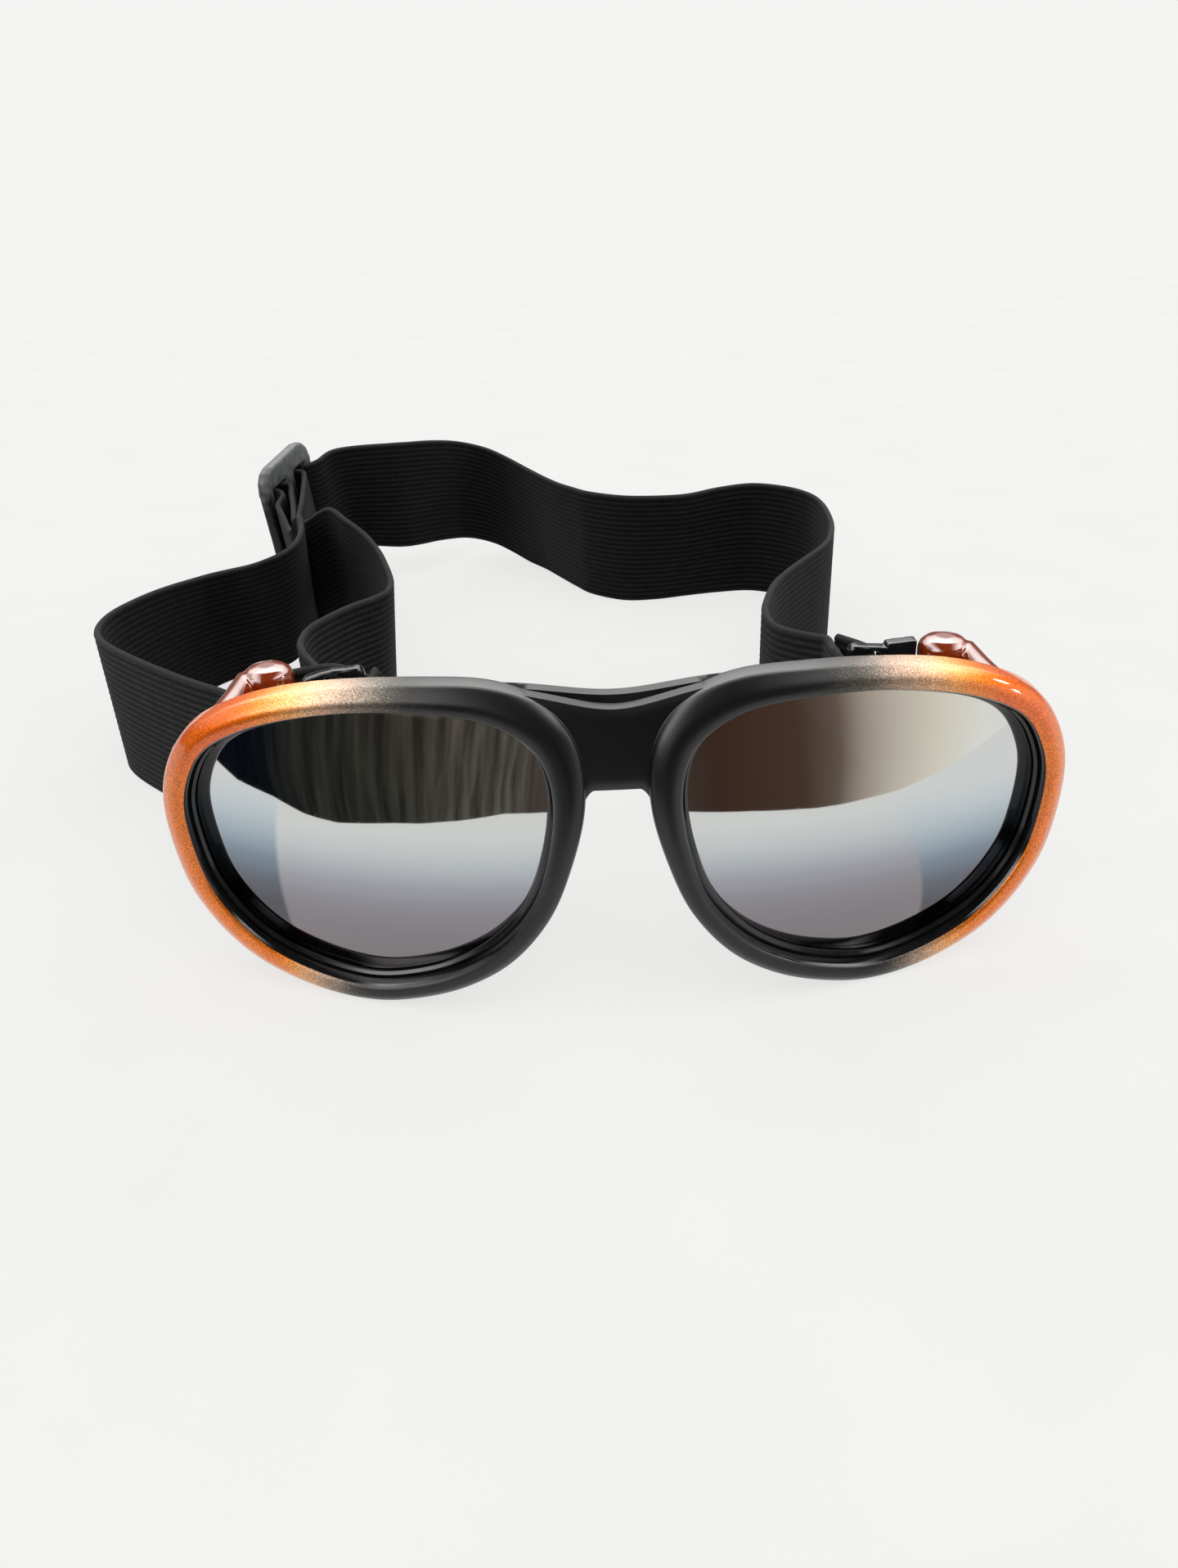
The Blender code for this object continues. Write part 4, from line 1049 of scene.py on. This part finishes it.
def gloss_black():
    n = new_finish("gloss_black")
    stops = ((0.3, (0.006, 0.006, 0.007)), (0.7, (0.012, 0.012, 0.013)))
    n.set(
        Base_Color=n.ramp(n.noise(300.0), stops),
        Roughness=n.smooth(n.noise(900.0, 3.0), 0.3, 0.8, 0.10, 0.20),
    )
    n.bump(n.noise(260.0, 2.0), 0.00004, 0.12)
    return n.owner


def mirror_lens():
    """A smoke lens, dark from behind, whose mirror coat thins out downwards. Its colours by
    height are partly painted reflection, and its outer parts hold a bluer painted reflection
    of the room.
    """
    n = new_finish("smoke_mirror")
    x, _, z = n.axes()
    # Colours by height: a mirror coat that thins out downwards, fitted partly as painted
    # reflection of the floor and room.
    coat = n.ramp(
        n.math("DIVIDE", z, LOOK_TOP, clamp=True),
        (
            (0.17, (0.240, 0.225, 0.236)),
            (0.24, (0.255, 0.234, 0.260)),
            (0.30, (0.272, 0.255, 0.276)),
            (0.36, (0.304, 0.299, 0.337)),
            (0.42, (0.372, 0.378, 0.420)),
            (0.47, (0.462, 0.492, 0.524)),
            (0.53, (0.575, 0.605, 0.618)),
            (0.59, (0.650, 0.670, 0.662)),
            (1.00, (0.640, 0.600, 0.560)),
        ),
    )
    # Painted reflection: beyond a curve near each lens's outer side, a bluer ramp that
    # darkens fast downwards, for the room's darker sides.
    right = n.math("GREATER_THAN", x, 0.0)
    low = n.math("ADD", z, n.line(right, *PAINTED_SIDE_REFLECTION_LIFT))
    outer = n.ramp(
        n.math("DIVIDE", low, LOOK_TOP, clamp=True),
        (
            (0.26, (0.105, 0.110, 0.125)),
            (0.34, (0.150, 0.165, 0.200)),
            (0.42, (0.225, 0.285, 0.345)),
            (0.50, (0.400, 0.475, 0.530)),
            (0.58, (0.560, 0.615, 0.650)),
            (0.66, (0.660, 0.680, 0.680)),
            (1.00, (0.660, 0.650, 0.640)),
        ),
    )
    off = n.math("SUBTRACT", z, n.line(right, *PAINTED_SIDE_REFLECTION_MIDDLE))
    away = n.math("POWER", n.math("ABSOLUTE", off), 2.0)
    fall = n.math("MULTIPLY", away, n.line(right, *PAINTED_SIDE_REFLECTION_CURVE))
    bound = n.math("SUBTRACT", n.line(right, *PAINTED_SIDE_REFLECTION_START), fall)
    beyond = n.math("SUBTRACT", n.math("ABSOLUTE", x), bound)
    coat_and_side_reflection = n.mix(n.smooth(beyond, -0.0004, 0.0005), coat, outer)
    _, facing, _ = n.split(n.add("ShaderNodeTexCoord").outputs["Normal"])
    back = n.smooth(facing, -0.1, 0.1)
    dust = n.noise(2600.0, 0.0)
    n.set(
        Base_Color=n.mix(back, coat_and_side_reflection, (0.012, 0.011, 0.011)),
        Metallic=n.math("SUBTRACT", 1.0, back),
        Roughness=n.smooth(dust, 0.74, 0.84, 0.03, 0.08),
    )
    n.bump(n.noise(70.0, 1.0), 0.00006, 0.04)
    return n.owner


def gloss_orange():
    n = new_finish("gloss_orange")
    stops = ((0.25, (0.24, 0.025, 0.002)), (0.75, (0.36, 0.044, 0.004)))
    n.set(
        Base_Color=n.ramp(n.noise(3000.0), stops),
        Roughness=n.smooth(n.noise(700.0), 0.3, 0.7, 0.16, 0.24),
        Coat_Weight=1.0,
        Coat_Roughness=0.03,
        Coat_IOR=2.0,
        Specular_IOR_Level=0.1,
    )
    return n.owner


def steel():
    n = new_finish("screw_steel")
    stops = ((0.3, (0.42, 0.42, 0.42)), (0.7, (0.62, 0.62, 0.61)))
    n.set(
        Base_Color=n.ramp(n.noise(1500.0), stops),
        Roughness=n.smooth(n.noise(4000.0), 0.3, 0.7, 0.22, 0.42),
        Metallic=1.0,
    )
    return n.owner


def slider_plastic():
    """Dark grey plastic, painted paler at its top as a painted highlight."""
    n = new_finish("slider_plastic")
    grain = n.noise(500.0, 3.0)
    _, _, z = n.axes()
    # Painted highlight: paler at the slider's top, where light from above catches it.
    painted_top_highlight = n.smooth(n.math("MULTIPLY_ADD", grain, 0.012, z), 0.036, 0.045)
    dark = n.ramp(grain, ((0.3, (0.008, 0.009, 0.010)), (0.7, (0.015, 0.016, 0.017))))
    pale = n.ramp(grain, ((0.3, (0.105, 0.112, 0.115)), (0.7, (0.165, 0.172, 0.174))))
    n.set(
        Base_Color=n.mix(painted_top_highlight, dark, pale),
        Roughness=n.smooth(n.noise(2500.0, 2.0), 0.3, 0.7, 0.30, 0.44),
        Specular_IOR_Level=0.18,
    )
    n.bump(n.noise(3500.0, 2.0), 0.00003, 0.2)
    return n.owner


def elastic():
    """Black ribbed elastic: rib tops paler as painted highlight, the stretches further back
    darker as painted shade, fine cross threads and grey edges.
    """
    n = new_finish("black_elastic")
    along, across, _ = n.split(n.add("ShaderNodeUVMap", uv_map="UVMap").outputs[0])
    ribs = n.math("COSINE", n.math("MULTIPLY", across, 2 * math.pi * WEB_RIBS))
    # Painted highlight: the rib tops are paler, as where light catches them.
    painted_rib_highlight = n.line(ribs, 0.5, 0.0)
    threads = n.math("SINE", n.math("MULTIPLY", along, 2 * math.pi / THREAD_PITCH))
    weave = n.line(threads, 0.5, 1.0)
    fuzz = n.noise(2600.0, 3.0, 0.7)
    lint = n.noise(420.0, 2.0)
    light = n.math("MULTIPLY", painted_rib_highlight, n.line(weave, 0.5, 1.0))
    light = n.math("MULTIPLY", light, n.line(lint, 0.45, 1.35))
    body = n.ramp(
        light,
        (
            (0.0, (0.0024, 0.0025, 0.0028)),
            (0.5, (0.0140, 0.0143, 0.0146)),
            (1.0, (0.042, 0.042, 0.041)),
        ),
    )
    # Painted shade: the webbing darkens towards the back of the strap, further from the
    # front.
    _, depth, _ = n.axes()
    painted_shade_behind = n.smooth(depth, 0.085, 0.120)
    body = n.mix(painted_shade_behind, body, n.times(body, (0.48, 0.48, 0.51)))
    away = n.math("ABSOLUTE", n.math("SUBTRACT", across, 0.5))
    edge = n.smooth(away, 0.478, 0.496)
    grey = n.mix(fuzz, (0.020, 0.020, 0.021), (0.060, 0.060, 0.058))
    n.set(
        Base_Color=n.mix(edge, body, grey),
        Roughness=0.88,
        Sheen_Weight=0.03,
        Sheen_Roughness=0.5,
        Specular_IOR_Level=0.12,
    )
    n.bump(n.math("ADD", n.math("MULTIPLY", weave, 0.7), fuzz), 0.00010, 0.6)
    return n.owner


def floor_material():
    """Pale paper. Mirrors see its near edge and the darker room before it."""
    n = new_finish("pale_floor")
    x, y, _ = n.axes()
    path = n.add("ShaderNodeLightPath").outputs
    speckle = n.noise(30.0, 3.0)
    paper = n.ramp(speckle, ((0.3, (0.895, 0.895, 0.885)), (0.7, (0.915, 0.915, 0.905))))
    n.set(Base_Color=paper, Roughness=0.9, Specular_IOR_Level=0.1)
    stops = (
        (-0.250, 0.060),
        (-0.177, 0.047),
        (-0.147, 0.054),
        (-0.118, 0.051),
        (-0.100, 0.055),
        (-0.083, 0.073),
        (-0.052, 0.083),
        (-0.031, 0.095),
        (-0.010, 0.090),
        (0.012, 0.081),
        (0.042, 0.079),
        (0.058, 0.075),
        (0.073, 0.072),
        (0.098, 0.067),
        (0.115, 0.062),
        (0.250, 0.055),
    )
    grey = [(0.5 + place / PAPER_SPAN, (reach / PAPER_REACH,) * 3) for place, reach in stops]
    edge = n.ramp(n.math("MULTIPLY_ADD", x, 1 / PAPER_SPAN, 0.5, clamp=True), grey)
    before = n.smooth(n.math("MULTIPLY_ADD", edge, PAPER_REACH, y), 0.0010, -0.0010)
    glow = n.add("ShaderNodeEmission")
    n.fill(glow, Color=paper)
    seen = n.math("MAXIMUM", path["Is Camera Ray"], path["Is Glossy Ray"])
    seen = n.math("MAXIMUM", seen, path["Is Transmission Ray"])
    surface = n.blend(n.math("MULTIPLY", seen, 0.78), n.shader.outputs[0], glow.outputs[0])
    gone = n.math("MULTIPLY", path["Is Glossy Ray"], before)
    clear = n.add("ShaderNodeBsdfTransparent").outputs[0]
    n.fill(n.tree.nodes["Material Output"], Surface=n.blend(gone, surface, clear))
    return n.owner


# Assembly


def wear(node, material):
    """Gives a CAD node its finished material."""
    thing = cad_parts[node]
    thing.data.materials.clear()
    thing.data.materials.append(material)


def dress(thing, material, slot, body, *nodes):
    """Gives a new piece its material and body, and hides the CAD nodes that it stands for.
    """
    for finish in material if isinstance(material, tuple) else (material,):
        thing.data.materials.append(finish)
    if body:
        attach(thing, body)
    if nodes:
        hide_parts(*nodes)


def blend_band(thing, body, start, end):
    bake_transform(thing)


def build_strap(material):
    right = right_run_stations()
    back = back_band_stations()
    outer = outer_run_stations()
    leg_out, leg_in = left_loop_halves()
    inner = inner_run_stations()
    _, slot_end = clip_slot()
    bar = slot_end + CLIP_BAR_WIDTH
    stretches = (
        ("webbing_right_run", [], right, back[1:3], "strap_right_run"),
        ("webbing_back_band", right[-3:-1], back, outer[-2:-4:-1], "strap_back_band"),
        ("webbing_outer_run", leg_out[2:0:-1], outer, back[:-3:-1], "strap_outer_run"),
        ("webbing_left_outer", outer[2:0:-1], leg_out, leg_in[1:3], "strap_left_loop"),
        ("webbing_left_inner", leg_out[-3:-1], leg_in, inner[1:3], "strap_left_loop"),
        ("webbing_inner_run", leg_in[-3:-1], inner, [], "strap_inner_run"),
    )
    blends = {
        "webbing_right_run": (
            "clip_right",
            (HINGE_X - bar, HINGE_Y, 0.02),
            (HINGE_X - bar - 0.008, HINGE_Y + 0.030, 0.02),
        ),
        "webbing_left_outer": (
            "clip_left",
            (-(HINGE_X - slot_end), HINGE_Y, 0.02),
            (-(HINGE_X + 0.004), HINGE_Y, 0.02),
        ),
        "webbing_left_inner": (
            "clip_left",
            (-(HINGE_X - bar), HINGE_Y, 0.02),
            (-(HINGE_X - bar) - 0.012, HINGE_Y + 0.025, 0.02),
        ),
    }
    for name, before, stations, after, node in stretches:
        made, length = webbing(name, before, stations, after)
        in_blend = name in blends
        dress(made, material, "black_elastic", None if in_blend else "frame", node)
        if in_blend:
            blend_band(made, *blends[name])


def build_stage():
    mesh = bpy.data.meshes.new("floor")
    half = FLOOR_SIZE / 2
    corners = [(-half, -half, 0), (half, -half, 0), (half, half, 0), (-half, half, 0)]
    mesh.from_pydata(corners, [], [(0, 1, 2, 3)])
    floor = bpy.data.objects.new("floor", mesh)
    floor.location.z = -FLOOR_DROP
    mesh.materials.append(floor_material())
    bpy.context.scene.collection.objects.link(floor)


def build_camera():
    data = bpy.data.cameras.new("camera")
    data.sensor_width = SENSOR_WIDTH
    data.lens = SENSOR_WIDTH * FOCAL_PIXELS / PICTURE_PIXELS
    data.clip_start = 0.01
    data.clip_end = 50
    camera = bpy.data.objects.new("camera", data)
    tilt = Matrix.Rotation(math.radians(90 - CAMERA_DOWN), 4, "X")
    roll = Matrix.Rotation(math.radians(CAMERA_ROLL), 4, "Z")
    camera.matrix_world = Matrix.Translation(ORIGIN + Vector(CAMERA_PLACE)) @ tilt @ roll
    bpy.context.scene.collection.objects.link(camera)
    bpy.context.scene.camera = camera


def sun(name, azimuth, elevation, width, strength):
    """A lamp at an angle from the front (positive to the right) and above the floor."""
    data = bpy.data.lights.new(name, "SUN")
    data.angle = math.radians(width)
    data.energy = strength
    lamp = bpy.data.objects.new(name, data)
    turn, rise = math.radians(azimuth), math.radians(elevation)
    towards = Vector(
        (math.sin(turn) * math.cos(rise), -math.cos(turn) * math.cos(rise), math.sin(rise))
    )
    lamp.rotation_euler = towards.to_track_quat("Z", "Y").to_euler()
    bpy.context.scene.collection.objects.link(lamp)


def build_light():
    """Two small lamps at the right. The soft light from above is the world's."""
    sun("window_high", 90.0, 21.0, 5.0, 0.20)
    sun("window_low", 84.0, 12.0, 4.0, 0.09)


def build_room(n, direction):
    """The room's colours by direction: walls with folds at the left, and a ceiling."""
    x, y, z = n.split(direction)
    azimuth = n.math("ARCTAN2", x, n.math("MULTIPLY", y, -1.0))

    def turned(low, high, start=0.0, end=1.0):
        """A smooth step between two azimuths in degrees."""
        return n.smooth(azimuth, math.radians(low), math.radians(high), start, end)

    stops = (
        (-180, (0.050, 0.048, 0.045)),
        (-110, (0.020, 0.018, 0.017)),
        (-75, (0.004, 0.004, 0.006)),
        (-57, (0.005, 0.006, 0.010)),
        (-52, (0.022, 0.024, 0.022)),
        (-33, (0.040, 0.039, 0.032)),
        (-19, (0.086, 0.078, 0.066)),
        (-8, (0.098, 0.092, 0.078)),
        (0, (0.070, 0.050, 0.044)),
        (10, (0.060, 0.032, 0.023)),
        (28, (0.085, 0.050, 0.035)),
        (35, (0.160, 0.120, 0.097)),
        (40, (0.470, 0.400, 0.330)),
        (46, (0.690, 0.630, 0.530)),
        (53, (0.890, 0.830, 0.690)),
        (63, (1.000, 0.990, 0.940)),
        (90, (0.900, 0.890, 0.870)),
        (120, (0.200, 0.190, 0.180)),
        (180, (0.050, 0.048, 0.045)),
    )
    walls = n.ramp(
        n.math("MULTIPLY_ADD", azimuth, 0.5 / math.pi, 0.5),
        [(0.5 + degrees / 360, colour) for degrees, colour in stops],
    )
    place = n.add("ShaderNodeCombineXYZ")
    n.fill(place, X=azimuth, Z=n.math("MULTIPLY", z, 0.05))
    folds = n.smooth(n.noise(26.0, 4.0, 0.6, place.outputs[0]), 0.32, 0.70, 0.45, 1.55)
    walls = n.mix(turned(4, -8), walls, n.times(walls, folds))
    walls = n.mix(n.smooth(z, 0.17, 0.36), walls, (0.030, 0.028, 0.027))

    aside = n.math("MULTIPLY_ADD", x, -0.12, n.math("ABSOLUTE", x))
    apart = n.smooth(aside, 0.28, 0.68)
    height = n.math("ADD", z, turned(10, -25, 0.06, 0.37))
    ceiling = n.math("MULTIPLY", n.smooth(height, 0.50, 0.74), apart)
    past_left = n.math("MULTIPLY", turned(-60, -82), n.smooth(z, 0.78, 0.55))
    ceiling = n.math("MULTIPLY", ceiling, n.line(past_left, 1.0, 0.20))
    gain = n.math("ADD", turned(15, 50, 1.0, 1.6), turned(-5, -25, 0.0, 0.32))
    room = n.mix(ceiling, walls, n.times((3.9, 3.8, 3.7), gain))

    level = n.smooth(z, 0.28, 0.56, 0.15, 4.0)
    level = n.math("ADD", level, n.smooth(z, 0.58, 0.78, 0.0, 4.0))
    return n.mix(n.smooth(y, 0.30, 0.60), room, n.times((1.00, 1.00, 0.98), level))


def build_world():
    """Pale for the camera, plain for the light, and a room that gloss reflects."""
    world = bpy.data.worlds.new("room")
    bpy.context.scene.world = world
    n = Nodes(world)
    path = n.add("ShaderNodeLightPath").outputs
    direction = n.add("ShaderNodeTexCoord").outputs["Generated"]
    gloss = n.math("MAXIMUM", path["Is Glossy Ray"], path["Is Transmission Ray"])
    towards = n.add("ShaderNodeVectorMath", operation="DOT_PRODUCT")
    n.join(direction, towards.inputs[0])
    towards.inputs[1].default_value = LAMP_TOWARDS
    lamp = n.smooth(towards.outputs["Value"], 0.83, 0.90)
    sky = n.mix(lamp, (0.62, 0.62, 0.62), (1.95, 1.92, 1.87))
    light = n.mix(gloss, sky, build_room(n, direction))
    seen = n.mix(path["Is Camera Ray"], light, (0.905, 0.905, 0.895))
    n.fill(n.tree.nodes["Background"], Color=seen)


def build():
    paint = fade_paint()
    black = gloss_black()
    lens = mirror_lens()
    orange = gloss_orange()
    metal = steel()
    dress(build_front(), (paint, black), "fade_paint", "frame", "front_frame")
    dress(build_inner(), black, "gloss_black", "frame", "inner_frame")
    dress(build_lens(1), lens, "smoke_mirror", "frame", "lens_right")
    dress(build_lens(-1), lens, "smoke_mirror", "frame", "lens_left")
    for side in ("left", "right"):
        arm = "side_arm_" + side
        clip = "clip_" + side
        dress(moulded(arm, ARM_GRAIN, 4), orange, "gloss_orange", "frame", arm)
        fillings = clip_fillings() if side == "right" else ()
        link = moulded(clip, CLIP_GRAIN, 6, fillings)
        dress(link, black, "gloss_black", clip, clip)
        wear("hinge_screw_" + side, metal)
    slider = moulded("slider", SLIDER_GRAIN, 4)
    dress(slider, slider_plastic(), "slider_plastic", "slider", "slider")
    build_strap(elastic())
    build_stage()
    build_camera()
    build_light()
    build_world()
    bpy.context.scene.view_settings.view_transform = "Standard"


build()
